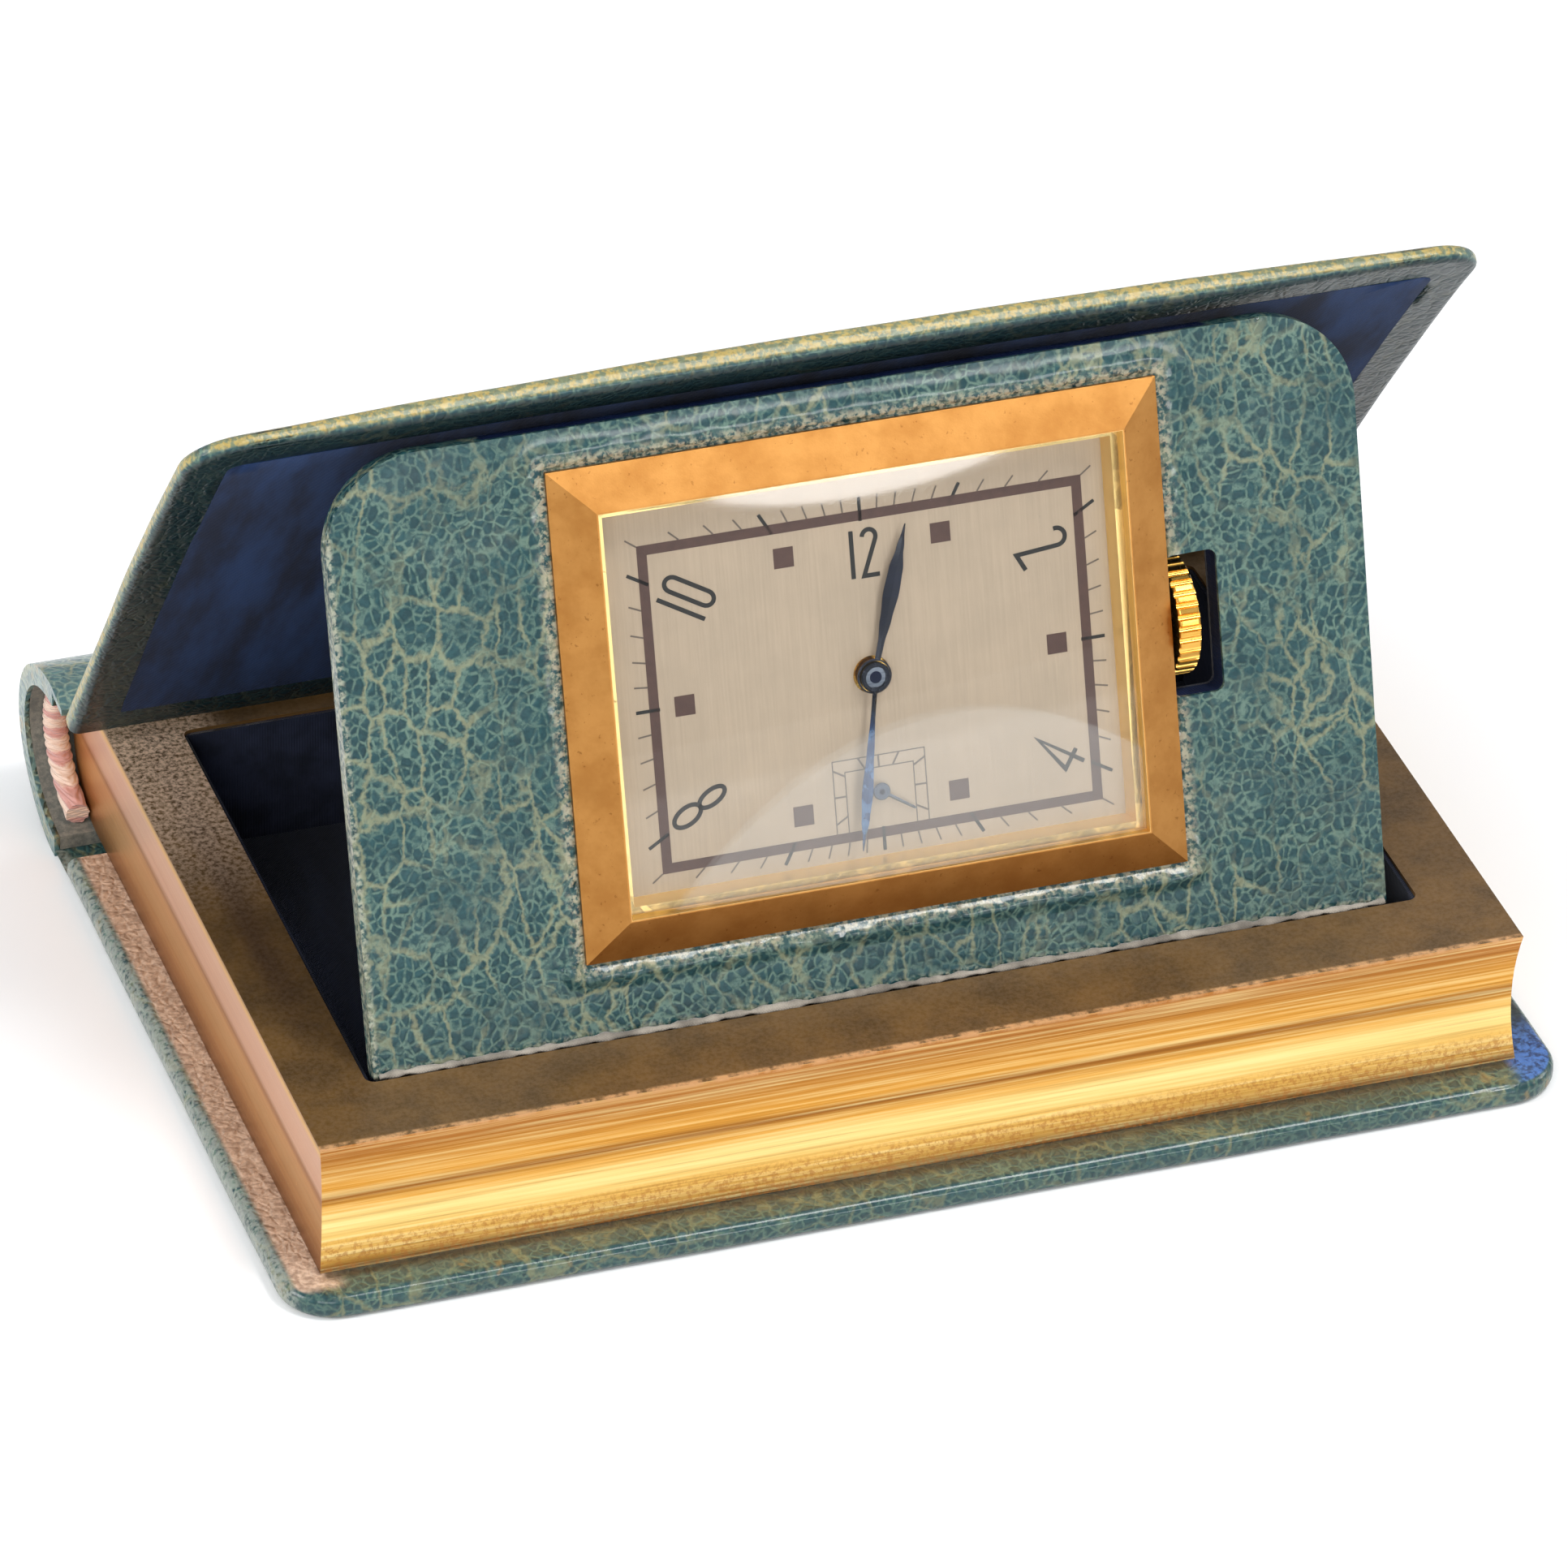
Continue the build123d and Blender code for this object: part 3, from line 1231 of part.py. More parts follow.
flat = {}
flat.update(panel())
flat.update(going_train())
flat.update(motion_work())
flat.update(barrel())
flat.update(winding_wheels())
flat.update(stem_and_crown())
flat.update(click())
flat["bezel"] = bezel()
flat["crystal"] = crystal()
flat["watch_case"] = watch_case()
flat["case_back"] = case_back()
flat["dial"] = dial()
flat["hour_hand"] = leaf_hand(hour_hand_length, hour_hand_width, hour_hand_boss_radius,
                              hour_pipe_radius, hour_angle, hour_hand_height)
flat["minute_hand"] = leaf_hand(minute_hand_length, minute_hand_width, minute_hand_boss_radius,
                                cannon_radius, minute_angle, minute_hand_height)
flat["seconds_hand"] = seconds_hand()
flat["movement_spacer"] = movement_spacer()
flat["mainplate"] = mainplate()
flat["barrel_bridge"] = bore_for_screws(barrel_bridge())
flat["train_bridge"] = bore_for_screws(train_bridge())
flat["balance_cock"] = bore_for_screws(balance_cock())
flat["pallet_bridge"] = pallet_bridge()
flat["pallet_fork"] = pallet_fork()
flat["balance_wheel"] = balance_wheel()
flat["hairspring"] = hairspring()
flat["winding_pinion"] = winding_pinion()
for name, body in flat.items():
    nodes[name] = on_panel(body)
nodes["jewels"] = on_panel_group(jewels())
nodes["movement_screws"] = on_panel_group(movement_screws())

os.makedirs("parts", exist_ok=True)
for name, body in nodes.items():
    export_step(body, f"parts/{name}.step")
print("cover rest angle", round(math.degrees(cover_rest), 3))
print("nodes", len(nodes))
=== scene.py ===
import json
import math

import bmesh
import bpy
from mathutils import Matrix, Vector, noise


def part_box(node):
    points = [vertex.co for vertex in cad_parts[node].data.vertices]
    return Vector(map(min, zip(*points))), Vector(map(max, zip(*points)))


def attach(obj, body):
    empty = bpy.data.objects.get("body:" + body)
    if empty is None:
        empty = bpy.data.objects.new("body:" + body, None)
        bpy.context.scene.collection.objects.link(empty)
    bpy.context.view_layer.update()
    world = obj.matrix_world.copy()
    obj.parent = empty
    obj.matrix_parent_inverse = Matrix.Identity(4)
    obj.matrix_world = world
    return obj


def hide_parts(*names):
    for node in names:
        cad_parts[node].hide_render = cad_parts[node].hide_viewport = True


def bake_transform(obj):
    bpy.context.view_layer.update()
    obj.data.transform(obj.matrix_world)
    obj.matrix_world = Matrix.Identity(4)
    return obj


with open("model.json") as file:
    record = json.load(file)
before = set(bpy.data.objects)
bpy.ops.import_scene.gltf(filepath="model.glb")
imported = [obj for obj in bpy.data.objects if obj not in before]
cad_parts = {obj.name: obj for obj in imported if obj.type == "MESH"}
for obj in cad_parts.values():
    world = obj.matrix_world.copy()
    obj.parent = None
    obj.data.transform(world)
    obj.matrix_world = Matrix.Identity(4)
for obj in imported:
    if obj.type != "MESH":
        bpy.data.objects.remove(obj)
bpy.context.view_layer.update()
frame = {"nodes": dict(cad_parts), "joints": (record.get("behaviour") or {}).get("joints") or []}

MM = 0.001
nodes = frame["nodes"]
joints = {joint["name"]: joint for joint in frame["joints"]}

# camera, fitted to the picture's corners of the block, panel and bezel
camera_lens = 251.48
camera_sensor = 36.0
camera_azimuth = -19.5405
camera_elevation = 33.6903
camera_roll = 1.5039
camera_target = (-2.1371, -5.8533, 15.0)
camera_distance = 621.575

# printing of the dial, in mm, from the dial's centre
print_lift = 0.012
frame_length = 26.05
frame_width = 19.0
frame_band = 0.58
tick_count = 60
tick_length = 0.78
thin_tick = 0.1
heavy_tick = 0.2
heavy_tick_inset = 0.62
square_side = 1.17
square_places = ((4.6, 7.5), (10.96, 0.0), (4.6, -7.5), (-4.6, -7.5), (-10.96, 0.0), (-4.6, 7.5))
numeral_stroke = 0.26
seconds_track_half_width = 2.72
seconds_track_top = 2.1
seconds_track_gap = 0.7
seconds_line = 0.07
seconds_tick = 0.112

# width of the bezel's facets, in mm
bezel_facet = 2.4

# painted reflection on the lower part of the crystal, a pale veil with a curved top, in mm on the panel
painted_reflection_top = 15.9
painted_reflection_middle = 3.9
painted_reflection_half_width = 12.0
painted_reflection_fall = 4.6

# grain of the leather, in mm
grain_pitch = 0.58
grain_relief = 0.045
vein_pitch = 1.9
vein_relief = 0.05
vein_width_share = 0.085
cloud_pitch = 6.0
bend_pitch = 0.8
fray_pitch = 0.35
spot_pitch = 2.4

# runs of the marks on the left rail's top, in mm from the case's middle
burnt_run = (-18.0, -6.0)
dusty_run = (-4.0, 14.0)

# pitches of threads and stripes, in mm
weave_pitch = 0.16
stripe_pitch = 1.25
thread_pitch = 0.42


def scene_colour(colour):
    """Three numbers are the 0-255 values that the picture shows. Four are scene values already."""
    if len(colour) == 4:
        return colour
    values = []
    for value in colour:
        share = value / 255
        if share <= 0.04045:
            values.append(share / 12.92)
        else:
            values.append(((share + 0.055) / 1.055) ** 2.4)
    return (*values, 1.0)


class Axes:
    """Three axes and an origin. Points in them are written in mm."""

    def __init__(self, origin, across, out):
        self.origin = Vector(origin)
        self.across = Vector(across)
        self.out = Vector(out)
        self.up = self.out.cross(self.across)

    def point(self, u, v, h):
        return self.origin + MM * (u * self.across + v * self.up + h * self.out)

    def local(self, place):
        away = (Vector(place) - self.origin) / MM
        return away.dot(self.across), away.dot(self.up), away.dot(self.out)

    def matrix(self):
        turn = Matrix((self.across, self.up, self.out)).transposed().to_4x4()
        return Matrix.Translation(self.origin) @ turn


def span(node, axis):
    """Least and greatest reach of a CAD node along an axis, in metres."""
    reaches = [vertex.co.dot(axis) for vertex in nodes[node].data.vertices]
    return min(reaches), max(reaches)


def extent(node, axes):
    """Least and greatest place of a CAD node along each of the axes, in mm."""
    places = [axes.local(vertex.co) for vertex in nodes[node].data.vertices]
    return [(min(values), max(values)) for values in zip(*places)]


def flat_normal(node):
    """Normal of the largest face of a CAD node."""
    return max(nodes[node].data.polygons, key=lambda face: face.area).normal.copy()


def face_axes(node, out):
    """Axes on a leather's face that looks out, from the middle of its lower edge."""
    up = out.cross(X)
    return Axes(up * span(node, up)[0] + out * span(node, out)[1], X, out)


X = Vector((1, 0, 0))
Z = Vector((0, 0, 1))

panel = face_axes("panel_leather", -Vector(joints["minute_turn"]["axis"]))
cover_out = flat_normal("front_cover_board")
if cover_out.z > 0:
    cover_out = -cover_out
cover = face_axes("front_cover_leather", cover_out)
base = Axes((0, 0, 0), X, Z)
dial_centre = panel.local(joints["minute_turn"]["pos_m"])
seconds_centre = panel.local(joints["seconds_turn"]["pos_m"])
dial_face = extent("dial", panel)[2][1]
bezel_u, bezel_v = extent("bezel", panel)[:2]
panel_left = extent("panel_leather", panel)[0][0]
cover_extent = extent("front_cover_leather", cover)
cover_run = cover_extent[1][1]
cover_depth = -cover_extent[2][0]
case_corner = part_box("rear_cover_leather")[1] / MM
case_reach = case_corner.x
cover_top = case_corner.z
block_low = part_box("front_rail")[0] / MM
block_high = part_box("spine_rail")[1] / MM
block_height = block_high.z - block_low.z


class Graph:
    """A node tree of a material or the world. Sockets or plain values go in, sockets come out."""

    def __init__(self, name, world=False):
        owners = bpy.data.worlds if world else bpy.data.materials
        self.owner = owners.new(name)
        self.owner.use_nodes = True
        self.tree = self.owner.node_tree
        self.tree.nodes.clear()
        kind = "ShaderNodeOutputWorld" if world else "ShaderNodeOutputMaterial"
        self.output = self.tree.nodes.new(kind)

    def node(self, kind, inputs=(), **settings):
        made = self.tree.nodes.new(kind)
        for key, value in settings.items():
            setattr(made, key, value)
        for key, value in dict(inputs).items():
            self.put(made.inputs[key], value)
        return made

    def put(self, socket, value):
        if isinstance(value, bpy.types.NodeSocket):
            self.tree.links.new(value, socket)
        elif socket.type == "RGBA":
            socket.default_value = scene_colour(value)
        else:
            socket.default_value = value

    def place(self, axes, stretch=(1, 1, 1)):
        """Coordinates in mm along the axes, each divided by its stretch."""
        coordinates = self.node("ShaderNodeTexCoord").outputs["Object"]
        turn = axes.matrix().to_euler()
        scale = [MM * share for share in stretch]
        mapping = self.node(
            "ShaderNodeMapping",
            {"Vector": coordinates, "Location": axes.origin, "Rotation": turn, "Scale": scale},
            vector_type="TEXTURE",
        )
        return mapping.outputs["Vector"]

    def parts(self, vector):
        split = self.node("ShaderNodeSeparateXYZ", {"Vector": vector})
        return split.outputs["X"], split.outputs["Y"], split.outputs["Z"]

    def maths(self, operation, first, second=0.0, third=0.0):
        values = {0: first, 1: second, 2: third}
        return self.node("ShaderNodeMath", values, operation=operation).outputs["Value"]

    def plus(self, first, second):
        return self.maths("ADD", first, second)

    def less(self, first, second):
        return self.maths("SUBTRACT", first, second)

    def times(self, *factors):
        product = factors[0]
        for factor in factors[1:]:
            product = self.maths("MULTIPLY", product, factor)
        return product

    def line(self, value, slope, offset):
        """The value times the slope, plus the offset."""
        return self.maths("MULTIPLY_ADD", value, slope, offset)

    def most(self, first, second):
        return self.maths("MAXIMUM", first, second)

    def wave(self, value, pitch):
        return self.maths("SINE", self.times(value, 2 * math.pi / pitch))

    def vector_maths(self, operation, first, second):
        return self.node("ShaderNodeVectorMath", {0: first, 1: second}, operation=operation).outputs["Vector"]

    def shift(self, vector, push, strength):
        """The vector moved along a colour or vector socket, centred on one half."""
        centred = self.vector_maths("SUBTRACT", push, (0.5, 0.5, 0.5))
        return self.vector_maths("ADD", vector, self.scaled(centred, (strength, strength, strength)))

    def scaled(self, vector, shares):
        return self.vector_maths("MULTIPLY", vector, shares)

    def kept(self, name):
        """A value kept on the points of a dressed piece."""
        return self.node("ShaderNodeAttribute", attribute_name=name).outputs["Fac"]

    def noise(self, vector, pitch, detail=2.0, rough=0.5, output="Fac"):
        inputs = {"Vector": vector, "Scale": 1 / pitch, "Detail": detail, "Roughness": rough}
        return self.node("ShaderNodeTexNoise", inputs).outputs[output]

    def cells(self, vector, pitch, feature="DISTANCE_TO_EDGE", output="Distance"):
        made = self.node("ShaderNodeTexVoronoi", {"Vector": vector, "Scale": 1 / pitch}, feature=feature)
        return made.outputs[output]

    def ramp(self, factor, *stops):
        """Colours at places from 0 upwards, run evenly between."""
        made = self.node("ShaderNodeValToRGB", {"Fac": factor})
        elements = made.color_ramp.elements
        elements[1].position = stops[-1][0]
        for place, colour in stops[1:-1]:
            elements.new(place)
        for element, (place, colour) in zip(elements, stops):
            element.color = scene_colour(colour)
        return made.outputs["Color"]

    def between(self, value, low, high, start=0.0, end=1.0):
        """Start at or below low, end at or above high, smooth between."""
        made = self.node(
            "ShaderNodeMapRange",
            {"Value": value, "From Min": low, "From Max": high, "To Min": start, "To Max": end},
            interpolation_type="SMOOTHSTEP",
        )
        return made.outputs["Result"]

    def mix(self, factor, first, second):
        return self.node("ShaderNodeMix", {0: factor, 6: first, 7: second}, data_type="RGBA").outputs[2]

    def mix_shaders(self, factor, first, second):
        return self.node("ShaderNodeMixShader", {0: factor, 1: first, 2: second}).outputs["Shader"]

    def bump(self, height, depth, below=None):
        """Relief of a height from 0 to 1 that stands depth mm."""
        inputs = {"Height": height, "Strength": 1.0, "Distance": depth * MM}
        if below is not None:
            inputs["Normal"] = below
        return self.node("ShaderNodeBump", inputs).outputs["Normal"]

    def shown(self, shader):
        """The material or world that shows the shader."""
        self.tree.links.new(shader, self.output.inputs["Surface"])
        return self.owner

    def finish(self, colour, roughness, metallic=0.0, normal=None, **constants):
        """The shader of the surface. Constants are written on its sockets."""
        inputs = {"Base Color": colour, "Roughness": roughness, "Metallic": metallic}
        if normal is not None:
            inputs["Normal"] = normal
        for key, value in constants.items():
            inputs[key.replace("_", " ")] = value
        return self.shown(self.node("ShaderNodeBsdfPrincipled", inputs).outputs["BSDF"])


def leather(name, axes, dark, light, wall, vein, wear, zones=None, vein_share=1.0, coat_share=0.55):
    """Calf with small raised grains, pale walls between them, long pale veins and worn spots."""
    g = Graph(name)
    place = g.place(axes)
    broad = g.noise(place, cloud_pitch, 2.0, 0.5, "Color")
    patch, strength, cloud = g.parts(broad)
    middling = g.noise(place, bend_pitch, 2.0, 0.5, "Color")
    fray, rub, fleck = g.parts(g.noise(place, fray_pitch, 2.0, 0.6, "Color"))
    flow = g.shift(place, broad, 2.2)
    bent = g.scaled(g.shift(flow, middling, 0.25), (1.0, 0.85, 1.0))
    grain = g.cells(bent, grain_pitch)
    tone = g.parts(g.cells(bent, grain_pitch, "F1", "Color"))[0]
    long_edge = g.cells(g.scaled(g.shift(flow, middling, 0.6), (1.0, 0.55, 1.0)), vein_pitch)
    walls = g.between(g.plus(grain, g.line(fray, 0.1, -0.05)), 0.02, 0.2, 1.0, 0.0)
    whole = g.between(rub, 0.36, 0.58, 0.3, 1.0)
    wall_share = g.times(walls, whole, g.between(patch, 0.36, 0.62, 0.5, 0.95))
    ragged = g.plus(long_edge, g.line(fray, 0.14, -0.07))
    veins = g.between(ragged, 0.0, vein_width_share, 1.0, 0.0)
    vein_strength = g.between(strength, 0.4, 0.62, 0.1 * vein_share, 0.65 * vein_share)
    shade = g.line(tone, 0.35, g.times(cloud, 0.35))
    body = g.mix(g.line(g.between(fleck, 0.4, 0.65), 0.35, shade), dark, light)
    colour = g.mix(wall_share, body, wall)
    colour = g.mix(g.times(veins, vein_strength), colour, vein)
    spots = g.between(g.noise(place, spot_pitch, 3.0, 0.7), 0.62, 0.72)
    colour = g.mix(g.times(spots, 0.45), colour, wear)
    if zones is not None:
        colour = zones(g, place, colour, rub, fleck)
    relief = g.bump(g.between(long_edge, 0.0, 0.25), vein_relief)
    relief = g.bump(g.between(grain, 0.0, 0.3), grain_relief, relief)
    coat = {"Coat_Weight": coat_share, "Coat_Roughness": 0.14}
    return g.finish(colour, g.line(cloud, 0.14, 0.28), 0.0, relief, Specular_IOR_Level=0.18, **coat)


def from_bezel(g, u, v):
    """How far outside the bezel's outline a place is, in mm. Inside, it is below zero."""
    beside = g.most(g.less(bezel_u[0], u), g.less(u, bezel_u[1]))
    above = g.most(g.less(bezel_v[0], v), g.less(v, bezel_v[1]))
    return g.most(beside, above)


def panel_zones(g, place, colour, rub, fleck):
    """The panel: a rubbed pale rim beside the bezel, pale outer edges and a dusty foot."""
    u, v, h = g.parts(place)
    away = from_bezel(g, u, v)
    rub = g.between(rub, 0.4, 0.62)
    rim = g.times(g.between(away, 1.0, 0.3), rub)
    colour = g.mix(g.times(rim, 0.6), colour, (188, 176, 148))
    left = g.between(u, panel_left + 0.5, panel_left + 0.15)
    foot = g.between(v, 0.7, 0.2)
    edges = g.times(g.most(left, foot), rub)
    colour = g.mix(g.times(edges, 0.7), colour, (168, 168, 148))
    slot_side = g.times(g.between(h, -0.12, -0.35), g.between(away, 3.6, 3.2))
    return g.mix(slot_side, colour, (16, 26, 56))


def cover_zones(g, place, colour, rub, fleck):
    """The front cover: painted shade on the turned-in leather of its inner face, a pale edge band that is
    painted highlight on the sides and wear on the fore edge, and rubbed gold on its outer edge.
    """
    depth = g.kept("rest_depth")
    # painted shade: the turned-in leather on the inner face, which faces down under the cover, is made dark
    # and plain
    inner = g.between(depth, -0.42, -0.08)
    colour = g.mix(g.times(inner, 0.86), colour, (20, 34, 38))
    u, v = g.parts(place)[:2]
    # pale band along the outer edges: painted highlight on the side edges, olive wear on the fore edge
    side = g.between(g.maths("ABSOLUTE", u), case_reach - 1.0, case_reach - 0.3)
    edge = g.most(side, g.between(v, cover_run - 1.0, cover_run - 0.3))
    edge = g.times(edge, g.between(depth, -0.3, -0.6))
    colour = g.mix(g.times(edge, 0.45), colour, (150, 150, 104))
    rub = g.between(rub, 0.42, 0.62)
    return g.mix(g.times(rub, edge, 0.6), colour, (196, 164, 84))


def base_zones(g, place, colour, rub, fleck):
    """The rear cover: worn suede where the turned-in leather lies bare by the block, a painted shadow under
    the block, blue at a corner.
    """
    u, v, h = g.parts(place)
    left = block_low.x
    front = block_low.y
    bare = g.between(h, cover_top - 0.12, cover_top - 0.03)
    suede = g.mix(g.between(fleck, 0.3, 0.7), (158, 130, 110), (208, 178, 154))
    inward = g.between(u, -case_reach + 0.5, -case_reach + 0.9)
    side = g.times(bare, inward, g.between(u, left + 1.5, left + 0.3), g.between(v, front - 1.8, front - 1.0))
    colour = g.mix(g.times(side, 0.95), colour, suede)
    rim = g.times(g.between(u, -case_reach + 0.9, -case_reach + 0.4), g.between(fleck, 0.3, 0.55))
    colour = g.mix(g.times(rim, 0.6), colour, (156, 160, 150))
    # painted shadow: dark contact shade under the block, from its front and left edges inwards
    under = g.times(bare, g.between(v, front - 1.1, front - 0.4), g.between(u, left - 0.1, left + 0.4))
    colour = g.mix(g.times(under, 0.8), colour, (30, 30, 26))
    right = block_high.x
    corner = g.times(g.between(u, right - 0.9, right + 0.1), g.between(v, front + 4.5, front + 1.5), bare)
    blue = g.mix(g.between(fleck, 0.35, 0.6), (34, 56, 104), (74, 116, 186))
    return g.mix(g.times(corner, 0.85), colour, blue)


def metal(name, dark, light, roughness, grain=(30.0, 0.25, 1.0), grain_depth=0.004, metallic=1.0):
    """Gilt or steel, with a drawn grain along the longest stretch."""
    g = Graph(name)
    streak = g.noise(g.place(panel, grain), 0.35, 4.0, 0.6)
    cloud = g.noise(g.place(panel), 4.0, 4.0, 0.6)
    tone = g.line(streak, 0.5, g.times(cloud, 0.5))
    colour = g.mix(g.between(tone, 0.3, 0.7), dark, light)
    return g.finish(colour, g.line(cloud, 0.16, roughness - 0.08), metallic, g.bump(streak, grain_depth))


def cloth(name, axes, dark, light, roughness=0.8, sheen=0.3):
    """Fine woven cloth with a watered sheen."""
    g = Graph(name)
    place = g.place(axes)
    u, v = g.parts(place)[:2]
    weave = g.line(g.times(g.wave(u, weave_pitch), g.wave(v, weave_pitch)), 0.5, 0.5)
    cloud = g.noise(g.place(axes, (1.0, 4.0, 1.0)), 3.0, 4.0, 0.6)
    colour = g.mix(g.between(cloud, 0.3, 0.7), dark, light)
    normal = g.bump(weave, 0.02, g.bump(cloud, 0.04))
    sheens = {"Sheen_Weight": sheen, "Sheen_Roughness": 0.4}
    return g.finish(colour, roughness, 0.0, normal, Specular_IOR_Level=0.2, **sheens)


def bezel_metal(name):
    """Satin gilt facets with fine dark specks, and a painted highlight on the walls beside the crystal."""
    g = Graph(name)
    place = g.place(panel)
    u, v = g.parts(place)[:2]
    cloud, haze = g.parts(g.noise(place, 2.6, 4.0, 0.65, "Color"))[::2]
    speck = g.between(g.noise(place, 0.4, 3.0, 0.7), 0.64, 0.7)
    colour = g.mix(g.between(cloud, 0.3, 0.7), (164, 112, 56), (182, 130, 70))
    colour = g.mix(g.times(speck, 0.55), colour, (120, 74, 32))
    # painted highlight: the walls beside the crystal are made near-white gold
    wall = g.between(from_bezel(g, u, v), -bezel_facet - 0.05, -bezel_facet - 0.15)
    colour = g.mix(wall, colour, (252, 220, 150))
    relief = g.bump(g.noise(place, 0.12, 2.0, 0.5), 0.003)
    return g.finish(colour, g.line(haze, 0.14, 0.3), 1.0, relief)


def hub_metal(name, hub, dark, light):
    """Blued steel, darkest round the dial's centre."""
    g = Graph(name)
    place = g.place(panel)
    u, v = g.parts(place)[:2]
    aside = g.less(u, dial_centre[0])
    above = g.less(v, dial_centre[1])
    away = g.maths("SQRT", g.plus(g.times(aside, aside), g.times(above, above)))
    cloud = g.noise(place, 0.8, 3.0, 0.6)
    blade = g.mix(g.between(cloud, 0.3, 0.7), dark, light)
    colour = g.mix(g.between(away, 1.6, 3.6), hub, blade)
    return g.finish(colour, g.line(cloud, 0.15, 0.2), 0.6, g.bump(cloud, 0.002))


def arbor_metal(name, dark, light, tip):
    """Polished brass with a blued tip in front of the dial."""
    g = Graph(name)
    place = g.place(panel)
    cloud = g.noise(place, 2.0, 3.0, 0.6)
    front = g.between(g.parts(place)[2], dial_face, dial_face + 0.05)
    colour = g.mix(front, g.mix(cloud, dark, light), tip)
    return g.finish(colour, 0.28, 0.9, g.bump(cloud, 0.002))


def board(name, dark, light, flecks):
    """Pulp board with flecks."""
    g = Graph(name)
    place = g.place(base)
    fleck = g.noise(place, 0.4, 5.0, 0.7)
    cloud = g.noise(place, 6.0, 3.0, 0.5)
    colour = g.mix(g.between(fleck, 0.35, 0.7), dark, light)
    colour = g.mix(g.times(cloud, 0.4), colour, flecks)
    return g.finish(colour, 0.9, 0.0, g.bump(fleck, 0.03))


def glass(name):
    """Clear glass that mirrors from its outer face, with faint dust specks and a painted reflection: a pale
    veil with a curved top over its lower part.
    """
    g = Graph(name)
    place = g.place(panel)
    dust = g.between(g.noise(place, 0.22, 3.0, 0.6), 0.72, 0.78)
    painted_reflection_cloud = g.noise(place, 8.0, 3.0, 0.5)
    clear = g.node("ShaderNodeBsdfTransparent", {"Color": (0.97, 0.98, 0.97, 1)}).outputs["BSDF"]
    gloss = g.node("ShaderNodeBsdfGlossy", {"Color": (1, 1, 1, 1), "Roughness": 0.03}).outputs["BSDF"]
    haze = g.node("ShaderNodeBsdfDiffuse", {"Color": (0.8, 0.8, 0.78, 1)}).outputs["BSDF"]
    outside = g.less(1.0, g.node("ShaderNodeNewGeometry").outputs["Backfacing"])
    fresnel = g.times(g.node("ShaderNodeFresnel", {"IOR": 1.55}).outputs["Fac"], outside)
    body = g.mix_shaders(fresnel, clear, gloss)
    # painted reflection: a pale veil below a curved edge on the lower part of the crystal
    u, v = g.parts(place)[:2]
    across = g.line(u, 1 / painted_reflection_half_width, -painted_reflection_middle / painted_reflection_half_width)
    painted_reflection_edge = g.line(g.times(across, across), -painted_reflection_fall, painted_reflection_top)
    painted_reflection = g.between(g.less(v, painted_reflection_edge), 0.15, -0.15)
    share = g.line(painted_reflection_cloud, 0.04, 0.05)
    # the haze shader shows the dust specks and the painted reflection
    dust_and_reflection_share = g.line(dust, 0.12, g.times(painted_reflection, share))
    return g.shown(g.mix_shaders(dust_and_reflection_share, body, haze))


def jewel(name):
    """Synthetic ruby with a polished face."""
    g = Graph(name)
    place = g.place(panel)
    cloud = g.noise(place, 0.3, 2.0, 0.5)
    colour = g.mix(cloud, (150, 12, 48), (214, 50, 92))
    return g.finish(colour, 0.08, 0.0, g.bump(cloud, 0.002), Transmission_Weight=0.35, IOR=1.76)


def ink(name, colour, second):
    """Printing ink, slightly uneven."""
    g = Graph(name)
    place = g.place(panel)
    cloud = g.noise(place, 0.5, 3.0, 0.6)
    return g.finish(g.mix(cloud, colour, second), 0.55, 0.0, g.bump(cloud, 0.003))


